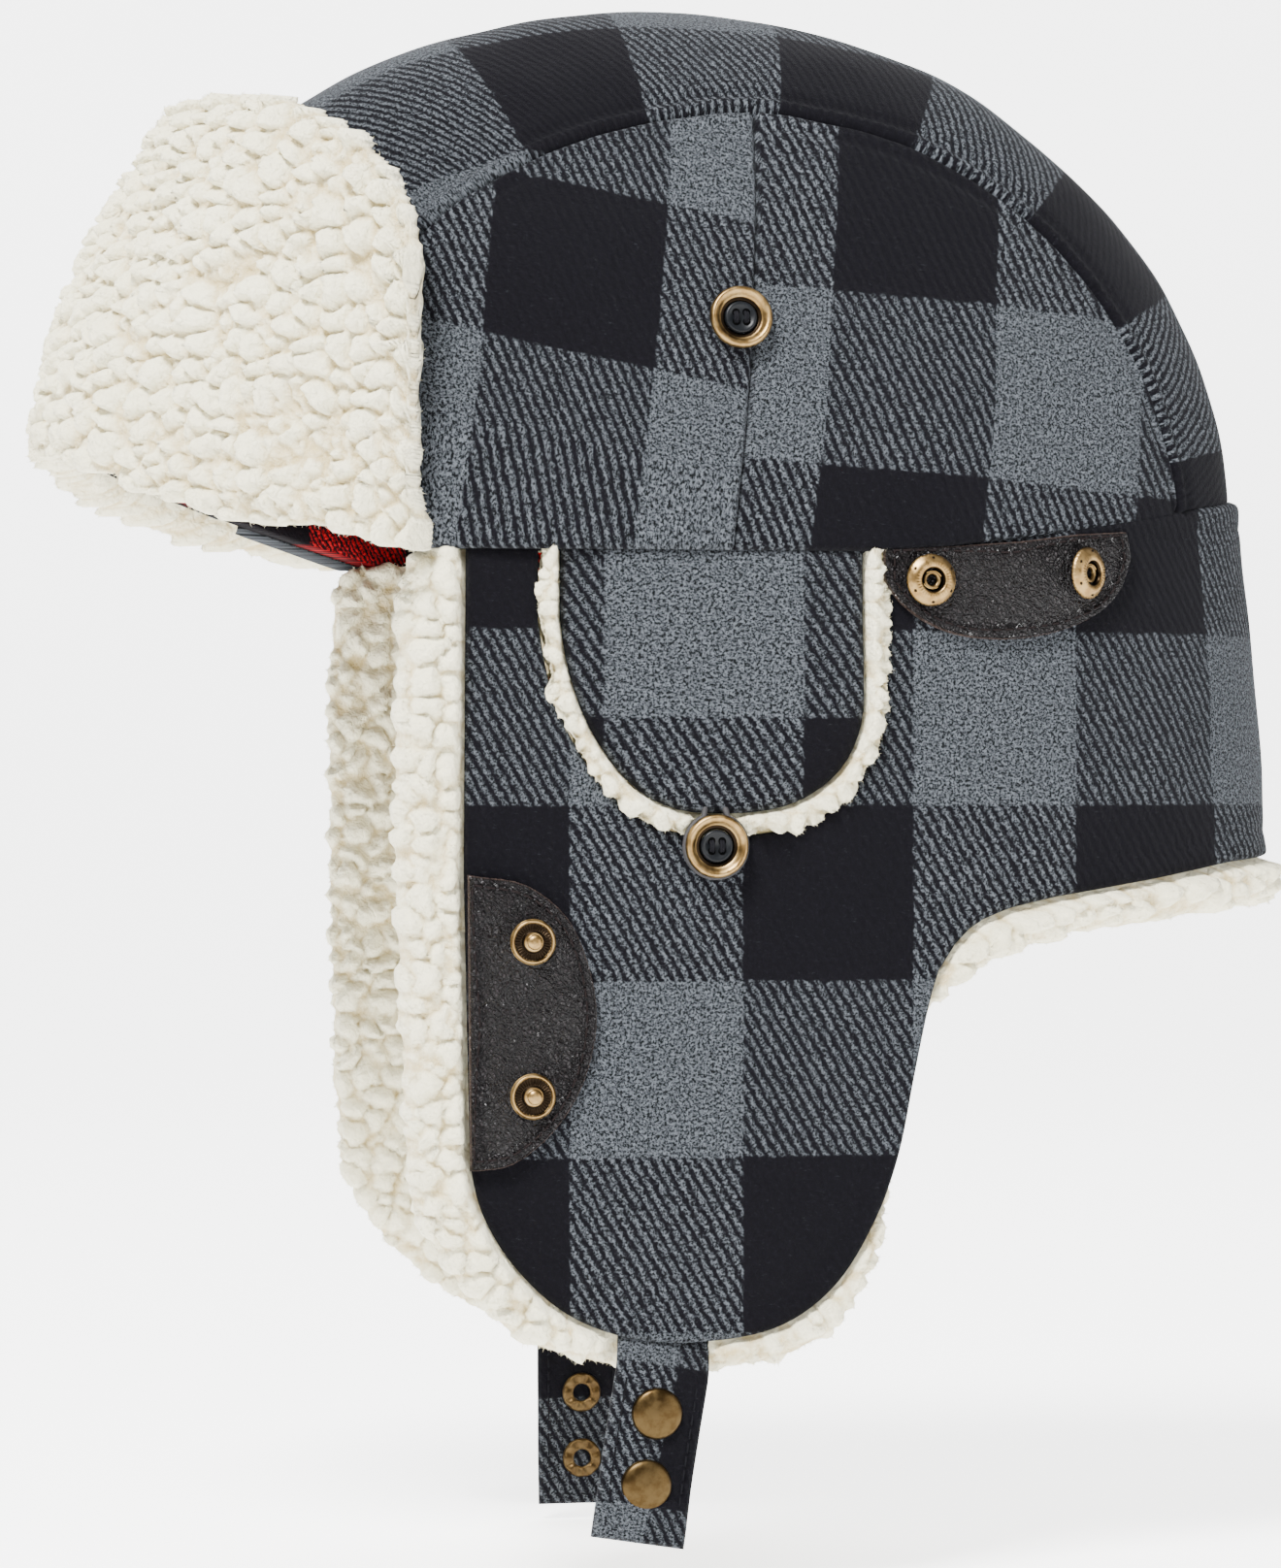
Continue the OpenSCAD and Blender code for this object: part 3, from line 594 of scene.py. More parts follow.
def leather_hide():
    """Pebbled dark leather with paler raw edges, painted shade in its grain's creases and
    painted highlights on its pebbles.
    """
    m = Shader("leather", Specular_IOR_Level=0.2)
    where = m.coordinates()
    pebble = m.add("TexVoronoi", {"feature": "DISTANCE_TO_EDGE"}, Scale=1050.0,
                   Vector=where).outputs["Distance"]
    crease = m.add("TexVoronoi", {"feature": "DISTANCE_TO_EDGE"}, Scale=330.0,
                   Vector=m.add("VectorMath", {"operation": "ADD"}, i0=where, i1=m.add(
                       "VectorMath", {"operation": "SCALE"},
                       i0=m.add("TexNoise", Scale=180.0, Vector=where).outputs["Color"],
                       Scale=0.004).outputs[0]).outputs[0]).outputs["Distance"]
    grain = m.math("ADD", m.ramp(pebble, 0.0, 0.22), m.ramp(crease, 0.0, 0.12, 0.0, 0.8))
    wear = m.noise(110.0, where, 4.0, 0.65)
    base = m.mix(wear, (0.0022, 0.0015, 0.0018, 1), (0.0062, 0.0042, 0.0046, 1))
    raw = m.attribute("tone", "Fac")
    # Painted shade: the creases between pebbles are darkened.
    tops = m.mix(m.ramp(grain, 0.6, 1.7), (0.0025, 0.002, 0.0025, 1), base)
    # Painted highlight: pale glints on the pebble tops, where the noise falls.
    shine = m.noise(1400.0, where, 4.0, 0.7)
    tops = m.mix(m.math("MULTIPLY", m.ramp(shine, 0.5, 0.66), m.ramp(grain, 1.1, 1.75)), tops,
                 (0.024, 0.02, 0.022, 1))
    colour = m.mix(m.ramp(raw, 0.5, 1.0), tops, (0.06, 0.04, 0.033, 1))
    rough = m.ramp(wear, 0.25, 0.75, 0.25, 0.42)
    return m.done(colour, rough, m.bump(grain, 0.0008, 1.0))


def brass_metal(name="brass", tint=1.0):
    m = Shader(name, Metallic=1.0)
    where = m.coordinates()
    cloud = m.noise(420.0, where, 5.0, 0.6)
    fine = m.noise(5200.0, where, 2.0)
    hollow = m.attribute("tone", "Fac")
    bright = m.mix(m.ramp(cloud, 0.35, 0.65), (0.30 * tint, 0.18 * tint, 0.065 * tint, 1),
                   (0.50 * tint, 0.33 * tint, 0.135 * tint, 1))
    colour = m.mix(m.ramp(hollow, 0.25, 0.8), bright, (0.013, 0.0085, 0.005, 1))
    rough = m.ramp(cloud, 0.3, 0.7, 0.3, 0.46)
    return m.done(colour, rough, m.bump(fine, 0.00003, 0.5))


def plain(name, colour, rough, scale, depth, **constants):
    """A simple fine-grained material: thread, elastic, wadding or plastic."""
    m = Shader(name, **constants)
    where = m.coordinates()
    grain = m.noise(scale, where, 3.0, 0.6)
    shade = tuple(min(1, 1.6 * c) for c in colour[:3]) + (1,)
    mixed = m.mix(grain, colour, shade)
    return m.done(mixed, m.ramp(grain, 0.3, 0.7, rough, min(1, rough + 0.1)),
                  m.bump(grain, depth, 0.6))


WOOL = check_cloth("plaid_wool", (0.0023, 0.0021, 0.0032, 1), (0.0283, 0.0312, 0.0352, 1))
FLANNEL = check_cloth("flannel", (0.003, 0.002, 0.003, 1), (0.15, 0.0018, 0.0034, 1), 1.2,
                      26.0, 0.2)
SHERPA = sherpa_cloth()
LEATHER = leather_hide()
BRASS = brass_metal("brass", 0.62)
CAP_BRASS = brass_metal("cap_brass", 0.13)
BLACK = plain("black_button", (0.0035, 0.004, 0.0048, 1), 0.28, 900.0, 0.00001,
              Specular_IOR_Level=0.14)
# Painted shade: matt near-black for the discs that stand in for the dark of the button's holes.
HOLE_SHADE = plain("button_hole_shade", (0.001, 0.001, 0.001, 1), 0.9, 900.0, 0.00001,
             Specular_IOR_Level=0.0)
THREAD = plain("thread", (0.004, 0.004, 0.005, 1), 0.8, 3000.0, 0.0001,
               Specular_IOR_Level=0.05)
STITCH = plain("leather_thread", (0.007, 0.005, 0.005, 1), 0.8, 3000.0, 0.0001,
               Specular_IOR_Level=0.05)
ELASTIC = plain("elastic", (0.010, 0.009, 0.010, 1), 0.7, 2400.0, 0.0001)
WADDING = plain("wadding", (0.7, 0.7, 0.66, 1), 0.9, 200.0, 0.0005)


# ---------------------------------------------------------------- crown
def crown_panel(name, node, v0, v1, side, seams):
    """One side panel of the crown, rounded over towards its seams."""
    steps, rise = 150, 110
    v = np.linspace(v0, v1, steps)
    low = on_crown(hem_dir(v) - (0, 0, 1.2)) - (CROWN_X, 0, 0)
    high = on_crown(top_dir(v, 1.0)) - (CROWN_X, 0, 0)
    t = np.linspace(0, 1, rise)
    d = (low[:, None] + (high - low)[:, None] * t[None, :, None]).reshape(-1, 3)
    base = on_crown(d).reshape(steps, rise, 3)
    cut_size(name, base)
    up = np.concatenate([np.zeros((steps, 1)), np.cumsum(np.linalg.norm(
        np.diff(base, axis=1), axis=2), 1)], 1)
    across = np.concatenate([np.zeros((1, rise)), np.cumsum(np.linalg.norm(
        np.diff(base, axis=0), axis=2), 0)], 0)
    to_top = up[:, -1:] - up
    to_seam = across if seams == "front" else across[-1:] - across
    dip = 1.9 * (1 - dome(to_top.ravel(), 1.7)) + 1.5 * (1 - dome(to_seam.ravel(), 1.5))
    dip += 1.2 * (1 - dome(up.ravel(), 1.4))
    dip += 0.45 * np.exp(-((to_top.ravel() - 4.6) / 1.5) ** 2)
    dip += 0.3 * np.exp(-((to_seam.ravel() - 4.0) / 1.4) ** 2)
    flat = base.reshape(-1, 3)
    pucker = smooth_noise(flat, 9.0, 3) * np.exp(-np.minimum(to_top, to_seam).ravel() / 7)
    sag = 0.9 * smooth_noise(flat, 34.0, 5) + 0.45 * smooth_noise(flat, 15.0, 6)
    front = on_crown(d, dip - 0.35 * pucker - sag)
    back = on_crown(d, WOOL_T - 0.4 + 4.2 * (1 - step(0, 4, up.ravel())))
    if seams == "front":
        x, z = flat[:, 0] - 9.8, flat[:, 2] - 41.5
        v = z - x * math.tan(math.radians(12)) + PITCH
        v = np.where(v < PITCH / 2, PITCH / 2 + 0.6 * (v - PITCH / 2), v)
        cloth = np.stack([x + z * math.tan(math.radians(7.5)) + PITCH, v], 1)
    else:
        x, z = flat[:, 0] + 34, flat[:, 2] - 50
        cloth = np.stack([x + z * math.tan(math.radians(6.5)),
                          z * 0.97 - x * math.tan(math.radians(4)) + 30], 1)
    points, faces = shell(front, back, grid_faces(steps, rise),
                          (CROWN_X, 0, 0), side)
    piece = store(name, points, faces, WOOL, np.vstack([cloth, cloth]))
    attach(piece, "root")
    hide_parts(node)
    return piece


def to_hem(d, v, shape):
    """Draws the top strip's two ends down, so that they reach the hem all across."""
    base = on_crown(d)
    above = (base[:, 2] - hem(base[:, 0]) + 1.2).reshape(shape)
    shift = step(146, TOP_FRONT, v) * np.broadcast_to(above[-1], shape).ravel()
    shift = shift + step(26, TOP_BACK, v) * np.broadcast_to(above[0], shape).ravel()
    moved = base - (CROWN_X, 0, 0)
    moved[:, 2] -= shift
    return moved


def crown_top():
    """The strip that runs over the top of the crown, from hem to hem."""
    steps, wide = 420, 150
    v = np.linspace(TOP_BACK, TOP_FRONT, steps)
    w = np.linspace(-1, 1, wide)
    vv, ww = np.meshgrid(v, w, indexing="ij")
    d = to_hem(top_dir(vv.ravel(), ww.ravel()), vv.ravel(), (steps, wide))
    base = on_crown(d).reshape(steps, wide, 3)
    cut_size("crown_top", base)
    middle = base[:, wide // 2]
    run = np.concatenate([[0], np.cumsum(np.linalg.norm(np.diff(middle, axis=0), axis=1))])
    out = np.concatenate([np.zeros((steps, 1)), np.cumsum(np.linalg.norm(
        np.diff(base, axis=1), axis=2), 1)], 1)
    edge = np.minimum(out, out[:, -1:] - out).ravel()
    ends = np.minimum(run, run[-1] - run)[:, None].repeat(wide, 1).ravel()
    twist = np.sin(run[:, None].repeat(wide, 1).ravel() / 2.3 * 2 * math.pi / 1.6)
    dip = 1.9 * (1 - dome(edge, 1.7)) + 1.4 * (1 - dome(ends, 1.6))
    dip -= (0.65 + 0.22 * twist) * np.exp(-((edge - 1.9) / 1.1) ** 2)
    dip += 0.45 * np.exp(-((edge - 5.0) / 1.5) ** 2)
    flat = base.reshape(-1, 3)
    pucker = smooth_noise(flat, 9.0, 3) * np.exp(-edge / 7)
    sag = 0.9 * smooth_noise(flat, 34.0, 5) + 0.45 * smooth_noise(flat, 15.0, 6)
    front = on_crown(d, dip - 0.35 * pucker - sag)
    back = on_crown(d, WOOL_T - 0.4 + 4.2 * (1 - step(0, 4, ends)))
    u = run[:, None].repeat(wide, 1).ravel()
    cloth = np.stack([-u + 141, np.abs(out - out[:, -1:] / 2).ravel() + PITCH - 24], 1)
    points, faces = shell(front, back, grid_faces(steps, wide), (CROWN_X, 0, 0))
    piece = store("crown_top", points, faces, WOOL, np.vstack([cloth, cloth]))
    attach(piece, "root")
    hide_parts("crown_top_panel")


def crown_lining():
    """The flannel inside the crown, with the soft folds of a loose lining."""
    round_, rise = 260, 90
    inset = WOOL_T + 1.6 + 4.0 + 0.8
    e = np.radians(89.3 * (np.arange(rise) / (rise - 1)) ** 0.9)
    b = np.radians(np.linspace(0, 360, round_ + 1))
    bb, ee = np.meshgrid(b, e, indexing="ij")
    bb, ee = bb.ravel(), ee.ravel()
    x = -CROWN_A * np.cos(bb)
    low = (hem(CROWN_X + x) - 0.9) * np.cos(ee)
    d = np.stack([x * np.cos(ee), CROWN_B * np.sin(bb) * np.cos(ee),
                  low + CROWN_H * np.sin(ee)], 1)
    base = on_crown(d, inset)
    cut_size("flannel_lining", base.reshape(round_ + 1, rise, 3))
    crease = 0.8 * smooth_noise(base, 22.0, 21) + 0.4 * smooth_noise(base, 9.0, 22)
    crease *= np.cos(ee)
    inner = on_crown(d, inset + 1.2 + np.abs(crease))
    outer = on_crown(d, inset + 0.1 - 3.2 * (1 - step(0, 0.03, ee)))
    cloth = np.stack([base[:, 0], base[:, 2] + 0.5 * np.abs(base[:, 1])], 1)
    points, faces = shell(outer, inner, grid_faces(round_ + 1, rise), (CROWN_X, 0, 0))
    piece = store("flannel_lining", points, faces, FLANNEL, np.vstack([cloth, cloth]))
    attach(piece, "root")
    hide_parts("crown_lining")


# ---------------------------------------------------------------- skirt
PORT_POINTS = [(37, -18), (34.5, -32), (28.5, -47), (18, -60.5), (5, -67.5), (-12, -68.5),
               (-27, -65.5), (-39, -57), (-45, -45), (-46, -32), (-46, -18)]
PORT_CENTRE = np.array((-4.5, -18.0))
HEEL = [(-50.5, -146), (-54.5, -127), (-58, -111), (-60.6, -102)]
NECK_WOOL = [(-165, -74), (-139, -76.4), (-116, -80.5), (-91, -84.4), (-79, -87),
             (-70, -90.5), (-64.5, -96), (-61, -101.5)]
NECK_PILE = [(-165, -86), (-140, -88), (-116, -91), (-97, -94), (-80, -97.5), (-70, -103),
             (-62, -109)]


def port_outline(grow, top=-TOP_GAP):
    pts = [np.array(p) for p in curve(PORT_POINTS, 4)]
    pts = [p + grow * (p - PORT_CENTRE) / np.linalg.norm(p - PORT_CENTRE) for p in pts]
    return [(37 + grow, top)] + [tuple(p) for p in pts] + [(-46 - grow, top)]


def skirt_outline(flap, neck):
    """Ear flap outline, then the neck flap's lower edge, its back and its hem."""
    table = sorted(neck)
    xs = [p[0] for p in table]
    zs = [p[1] for p in table]
    ends = np.linspace(xs[-1], -154.8, 26)
    low = [(float(along(x)), float(np.interp(x, xs, zs))) for x in ends]
    low[-1] = (SKIRT_END, low[-1][1])
    back = np.linspace(-154.8, -45, 20)
    top = [(float(along(x)), float(hem(x)) - TOP_GAP) for x in back]
    top[0] = (SKIRT_END, top[0][1])
    return flap + low + top


WOOL_FLAP = [(FLAP_FRONT - 0.5, -TOP_GAP), (FLAP_FRONT, -78)] + curve(
    [(FLAP_FRONT - 1.5, -147), (51, -159), (43, -172), (30, -183.5), (13, FLAP_LOW + 0.4),
     (-6, FLAP_LOW), (-22, -186.5), (-35, -177), (-44.5, -162)] + HEEL)
PILE_X, PILE_Z = FLAP_FRONT + PILE_FRONT, FLAP_LOW - PILE_LOW
PILE_FLAP = [(FLAP_FRONT + 7, -TOP_GAP)] + curve(
    [(PILE_X - 4, -3), (PILE_X - 0.5, -14), (PILE_X, -78), (PILE_X - 2.2, -147), (64, -163),
     (54.5, -177), (42, -188), (30, -193.5), (14, PILE_Z + 0.3), (-10, PILE_Z),
     (-27, -193.5), (-39.5, -183), (-47, -165), (-51.5, -146), (-55, -127), (-58.5, -112)], 4)

wool_edge = skirt_outline(WOOL_FLAP, NECK_WOOL)
pile_edge = skirt_outline(PILE_FLAP, NECK_PILE)


def rim_of(outline):
    """The outline without its back end, where the two halves meet."""
    return [(s - (40 if s < SKIRT_END + 0.1 else 0), z) for s, z in outline]


def across_fold(piece):
    """Bakes the piece's placement into its points."""
    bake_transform(piece)


def rim_normal(p, loop):
    """The way out of an outline at its point nearest to each p."""
    t = np.roll(loop, -1, 0) - np.roll(loop, 1, 0)
    n = np.stack([t[:, 1], -t[:, 0]], 1)
    n /= np.maximum(np.linalg.norm(n, axis=1), 1e-9)[:, None]
    if not inside((loop - 0.3 * n)[5:6], loop)[0]:
        n = -n
    best = np.empty((len(p), 2))
    for lo in range(0, len(p), 4000):
        d = np.linalg.norm(p[lo:lo + 4000, None] - loop[None], axis=2)
        best[lo:lo + 4000] = n[d.argmin(1)]
    return best


def skirt_wool():
    """The wool of the ear flaps and the neck flap, in one piece on each side."""
    hole = port_outline(0.8, -TOP_GAP - 0.9)
    p, tris, loops = region(wool_edge, [hole], 1.9, rings=(0.45, 1.1))
    rim = edge_distance(p, rim_of(loops[0]))
    hole_d = edge_distance(p, loops[1])
    round_off = 1.5 * (1 - dome(rim, 1.7)) + 1.0 * (1 - dome(hole_d, 1.2))
    ridge = 0.35 * np.exp(-((rim - 6.5) / 1.6) ** 2)
    for side_name, sign in (("left", 1), ("right", -1)):
        base = skirt(p, 0.0)
        seed = 50 if sign > 0 else 70
        sag = 0.9 * smooth_noise(base, 42.0, seed) + 0.4 * smooth_noise(base, 17.0, seed + 1)
        sag *= dome(rim, 12)
        front = skirt(p, round_off + ridge - np.maximum(sag, -0.6))
        back = skirt(p, WOOL_T - round_off * 0.6)
        cloth = np.stack([p[:, 0] + 54 + PITCH, p[:, 1] + 62.4], 1)
        points, faces = shell(front, back, tris,
                              (0, 0, -60), sign)
        piece = store(side_name + "_skirt_wool", points, faces, WOOL,
                      np.vstack([cloth, cloth]))
        across_fold(piece)
        nodes = [side_name + "_earflap_shell"]
        if sign > 0:
            nodes.append("neck_flap_shell")
        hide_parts(*nodes)


def skirt_sherpa():
    """The lining: it rolls out past the wool's edge at the front and below."""
    hole = port_outline(0.8, -TOP_GAP - 0.9)
    p, tris, loops = region(pile_edge, [hole], 1.15)
    rim = edge_distance(p, rim_of(loops[0]))
    hole_d = edge_distance(p, loops[1])
    wool_d = edge_distance(p, rim_of(resample(wool_edge, 2.0)))
    past = np.where(inside(p, wool_edge), -wool_d, wool_d)
    shape = dome(rim, 6.5) * (0.35 + 0.65 * dome(hole_d, 3.0))
    middle = WOOL_T + 0.4 + PILE_T / 2
    roll = step(-0.3, 3.2, past)
    for side_name, sign in (("left", 1), ("right", -1)):
        strap_x = (LEFT_STRAP if sign > 0 else RIGHT_STRAP)[0]
        press = step(17, 10, np.abs(p[:, 0] - strap_x)) * step(-176, -188, p[:, 1])
        base = skirt(p, middle)
        seed = 100 if sign > 0 else 160
        height = tufts(base, seed)
        lump = smooth_noise(base, 14.0, seed + 5)
        outer = WOOL_T + 0.7 - roll * (1 - press) * (3.8 + 0.9 * lump)
        front_in = middle + (outer - middle) * shape - roll * (1 - press) * 4.6 * height
        back_in = middle + (PILE_T / 2 - 2.6 + 0.8 * lump) * shape + 4.4 * height
        ragged = 1.7 * (height - 0.35) + 0.8 * smooth_noise(base, 7.0, seed + 6)
        nudge = ragged * (1 - step(0, 5, rim)) * step(-0.4, 0.4, past)
        q = p + nudge[:, None] * rim_normal(p, loops[0])
        front = skirt(q, front_in)
        back = skirt(q, back_in)
        points, faces = shell(front, back, tris,
                              (0, 0, -60), sign)
        tone = np.concatenate([height, height])
        pick = np.concatenate([(past > 0.5) * (0.3 + 2 * (1 - step(0, 6, rim))),
                               0.04 + 0.8 * (1 - step(0, 6, rim))])
        points, faces, tone = fuzz(points, faces, tone, pick, 7000, 1.15, 0.06, seed)
        piece = store(side_name + "_skirt_sherpa", points, faces, SHERPA, tone=tone)
        across_fold(piece)
        nodes = [side_name + "_earflap_sherpa"]
        if sign > 0:
            nodes.append("neck_flap_sherpa")
        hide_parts(*nodes)


# ---------------------------------------------------------------- visor
def visor_sheet(b, t, off, drop=0.0):
    """Points of the visor at the angles b from the front and heights t from 0 to 1."""
    a = np.radians(b)
    foot = on_crown(np.stack([CROWN_A * np.cos(a), CROWN_B * np.sin(a), 0 * a], 1))
    foot -= (CROWN_X, 0, 0)
    low = hem(CROWN_X + foot[:, 0]) - drop
    turned = np.clip((b - 33) / (VISOR_SIDE - 33), 0, 1)
    high = 60 + (VISOR_TOP - 60) * (1 - turned ** 2.2) ** (1 / 2.2)
    z = low + (high - low) * t
    out = off + VISOR_LEAN * np.clip(t, 0, 1) ** 2
    k = (1 - (np.abs(z) / (CROWN_H + out)) ** RISE_E) ** (1 / RISE_E)
    p = on_crown(foot, -out) - (CROWN_X, 0, 0)
    return np.stack([CROWN_X + p[:, 0] * k, p[:, 1] * k, z], 1)


def visor_half(side_name, sign):
    """Half of the visor, wool and sherpa, from its middle to its rear end."""
    wide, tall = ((170, 140))
    turned = np.linspace(0, 1, wide)
    b = VISOR_SIDE * (turned + 0.12 * np.sin(math.pi * turned) * turned)
    t = np.linspace(0, 1, tall)
    bb, tt = np.meshgrid(b, t, indexing="ij")
    bb, tt = bb.ravel(), tt.ravel()
    drop = 1.5 + 5.5 * (1 - step(47, 61, bb)) - 4.0 * (1 - step(18, 38, bb))
    base = visor_sheet(bb, tt, VISOR_T, drop).reshape(wide, tall, 3)
    flat = base.reshape(-1, 3)
    to_low = np.concatenate([np.zeros((wide, 1)), np.cumsum(np.linalg.norm(
        np.diff(base, axis=1), axis=2), 1)], 1).ravel()
    rim_line = np.vstack([base[:, -1], base[::-1][:1][:, ::-1][0]])
    away = np.full(len(flat), 1e9)
    for q in rim_line[::2]:
        away = np.minimum(away, np.linalg.norm(flat - q, axis=1))
    edge = np.minimum(away, to_low)
    shape = dome(np.minimum(away, 1.25 * to_low), 10.0)
    near = mirrored(flat, sign)
    height = tufts(near, 210)
    lump = smooth_noise(near, 19.0, 215) + 0.5 * smooth_noise(near, 10.0, 216)
    under = 1 - step(6, 12, to_low)
    middle = 7.5 - 2.0 * under
    front_off = middle + (VISOR_T - VISOR_TUFT - middle + 1.3 * lump) * shape + (
        VISOR_TUFT * height)
    back_off = middle - (middle - 3.6 + 5.6 * under) * shape - 1.2 * height * (1 - shape)
    wander = (1.8 * (height - 0.4) + 0.8 * smooth_noise(near, 8.0, 217)) * (1 - step(0, 6, edge))
    low_out = (1 - step(0, 6, to_low))
    front = visor_sheet(bb, tt, front_off, drop + wander * low_out)
    back = visor_sheet(bb, tt, back_off, drop + wander * low_out)
    lift = (wander * (1 - low_out))[:, None] * np.array((-0.55, 0, 0.85))
    front, back = front + lift, back + lift
    seam = bb == 0
    front[seam, 1], back[seam, 1] = 0, 0
    points, faces = shell(front, back, grid_faces(wide, tall),
                          (60, 0, 50), sign)
    tone = np.concatenate([height, height])
    pick = np.concatenate([0.3 + 2.5 * (1 - step(0, 8, edge)), 0.3 * (edge < 3)])
    points, faces, tone = fuzz(points, faces, tone, pick, 7000, 1.15, 0.06, 11)
    pile = store(side_name + "_visor_sherpa", points, faces, SHERPA, tone=tone)
    keep_b = np.linspace(0, VISOR_END, 70)
    keep_t = np.linspace(0.1, 0.93, 50)
    gb, gt = np.meshgrid(keep_b, keep_t, indexing="ij")
    gb, gt = gb.ravel(), gt.ravel()
    inner = visor_sheet(gb, gt, 0.9)
    outer = visor_sheet(gb, gt, 3.4)
    cut_size(side_name + "_visor_wool", inner.reshape(70, 50, 3))
    cloth = np.stack([inner[:, 1] * 1.6 + 30, inner[:, 2]], 1)
    points, faces = shell(outer, inner, grid_faces(70, 50),
                          (60, 0, 50), sign)
    wool = store(side_name + "_visor_wool", points, faces, WOOL, np.vstack([cloth, cloth]))
    bend = visor_sheet(np.array([VISOR_BEND]), np.array([0.5]), 8.0)[0]
    a = math.atan2(CROWN_B * math.sin(math.radians(VISOR_BEND)),
                   CROWN_A * math.cos(math.radians(VISOR_BEND)))
    turn_to = np.array((-math.sin(a), math.cos(a), 0))
    for piece in (pile, wool):
        start = mirrored([bend - 12 * turn_to], sign)[0] * MM
        end = mirrored([bend + 12 * turn_to], sign)[0] * MM
        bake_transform(piece)
    nodes = ["visor_" + side_name + "_wing_sherpa"]
    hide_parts(*(nodes + (["visor_sherpa"] if sign > 0 else [])))
    nodes = ["visor_" + side_name + "_wing_backing"]
    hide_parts(*(nodes + (["visor_backing"] if sign > 0 else [])))


# ---------------------------------------------------------------- port flaps
BUTTON_X, BUTTON_Z = -4.8, -71.8


def port_flap(side_name, sign):
    body = side_name + "_port_flap"
    outline = port_outline(-4.6)
    p, tris, loops = region(outline, [], 1.8, rings=(0.45, 1.1))
    rim = edge_distance(p, loops[0])
    low_rim = edge_distance(p, [q for q in loops[0] if q[1] < -2], False)
    base = np.stack([p[:, 0], 0 * p[:, 0] + SKIRT_Y, p[:, 1]], 1)
    puff = 1.6 * dome(low_rim, 14) + 0.5 * smooth_noise(base, 26.0, 31 + sign)
    front = base + np.stack([0 * puff, puff - 1.5 * (1 - dome(rim, 1.6)) + 0.4, 0 * puff], 1)
    back = base + np.stack([0 * puff, 0 * puff - WOOL_T + 0.8 * (1 - dome(rim, 1.6)),
                            0 * puff], 1)
    cloth = np.stack([(p[:, 0] + 26.6) * 0.866, p[:, 1] + 41.4], 1)
    points, faces = shell(front, back, tris,
                          (0, 0, -30), sign)
    wool = store(side_name + "_port_wool", points, faces, WOOL, np.vstack([cloth, cloth]))
    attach(wool, body)
    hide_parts(side_name + "_port_flap_shell")
    p, tris, loops = region(port_outline(0.7), [], 0.85)
    rim = edge_distance(p, [q for q in loops[0] if q[1] < -1.2], False)
    wool_loop = resample(port_outline(-4.6, 3.0), 1.5)
    wool_d = edge_distance(p, wool_loop)
    past = np.where(inside(p, wool_loop), -wool_d, wool_d)
    base = np.stack([p[:, 0], 0 * p[:, 0] + SKIRT_Y - 6, p[:, 1]], 1)
    seed = 300 + 20 * sign
    height = tufts(mirrored(base, sign), seed, 4.6, 2.2)
    shape = dome(rim, 4.0)
    roll = step(-0.6, 2.2, past)
    dent = np.exp(-(np.hypot(p[:, 0] - BUTTON_X, p[:, 1] - BUTTON_Z) / 8.5) ** 4)
    lift = roll * (6.0 + 1.4 * smooth_noise(base, 8.0, seed + 3)) * (1 - 0.95 * dent)
    top_cut = np.clip((-p[:, 1] - 1) * 1.2, 0, PILE_T)
    front_y = SKIRT_Y - 6 + (2.2 + lift) * shape + roll * 3.0 * height * (1 - dent)
    back_y = SKIRT_Y - 6 - np.minimum(top_cut, 5.5) * shape - 1.2 * height
    inner_loop = resample(port_outline(-0.6, 3.0), 1.5)
    inner_d = edge_distance(p, inner_loop)
    over = step(-0.2, 0.9, np.where(inside(p, inner_loop), -inner_d, inner_d))
    back_y = back_y + (SKIRT_Y + 0.7 - back_y) * over
    front_y = np.maximum(front_y, back_y + 0.5)
    shift = (1.9 * (height - 0.3) + 1.6 * smooth_noise(base, 6.0, seed + 4))
    shift *= (1 - step(0, 4.0, rim)) * step(-0.3, 0.8, past)
    outwards = (p - PORT_CENTRE) / np.linalg.norm(p - PORT_CENTRE, axis=1)[:, None]
    q = p + outwards * shift[:, None]
    front = np.stack([q[:, 0], front_y, q[:, 1]], 1)
    back = np.stack([q[:, 0], back_y, q[:, 1]], 1)
    points, faces = shell(front, back, tris,
                          (0, 0, -30), sign)
    tone = np.concatenate([height, height])
    pick = np.concatenate([roll * (1 - dent) + 1e-6, 0 * roll])
    points, faces, tone = fuzz(points, faces, tone, pick, 2500, 1.0, 0.055, seed)
    pile = store(side_name + "_port_sherpa", points, faces, SHERPA, tone=tone)
    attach(pile, body)
    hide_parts(side_name + "_port_flap_sherpa")


def tube(path, radius, sides=8):
    """A round cord along an open path in millimetres."""
    path = np.asarray(path, float)
    ahead = np.gradient(path, axis=0)
    ahead /= np.linalg.norm(ahead, axis=1)[:, None]
    ref = np.tile((0.13, 0.37, 0.92), (len(path), 1))
    one = np.cross(ahead, ref)
    one /= np.linalg.norm(one, axis=1)[:, None]
    two = np.cross(ahead, one)
    a = np.linspace(0, 2 * math.pi, sides, endpoint=False)
    rings = path[:, None] + radius * (one[:, None] * np.cos(a)[None, :, None]
                                      + two[:, None] * np.sin(a)[None, :, None])
    n = len(path)
    faces = []
    for i in range(n - 1):
        for k in range(sides):
            m = (k + 1) % sides
            faces.append((i * sides + k, i * sides + m, (i + 1) * sides + m,
                          (i + 1) * sides + k))
    faces.append(tuple(reversed(range(sides))))
    faces.append(tuple((n - 1) * sides + k for k in range(sides)))
    return rings.reshape(-1, 3), faces


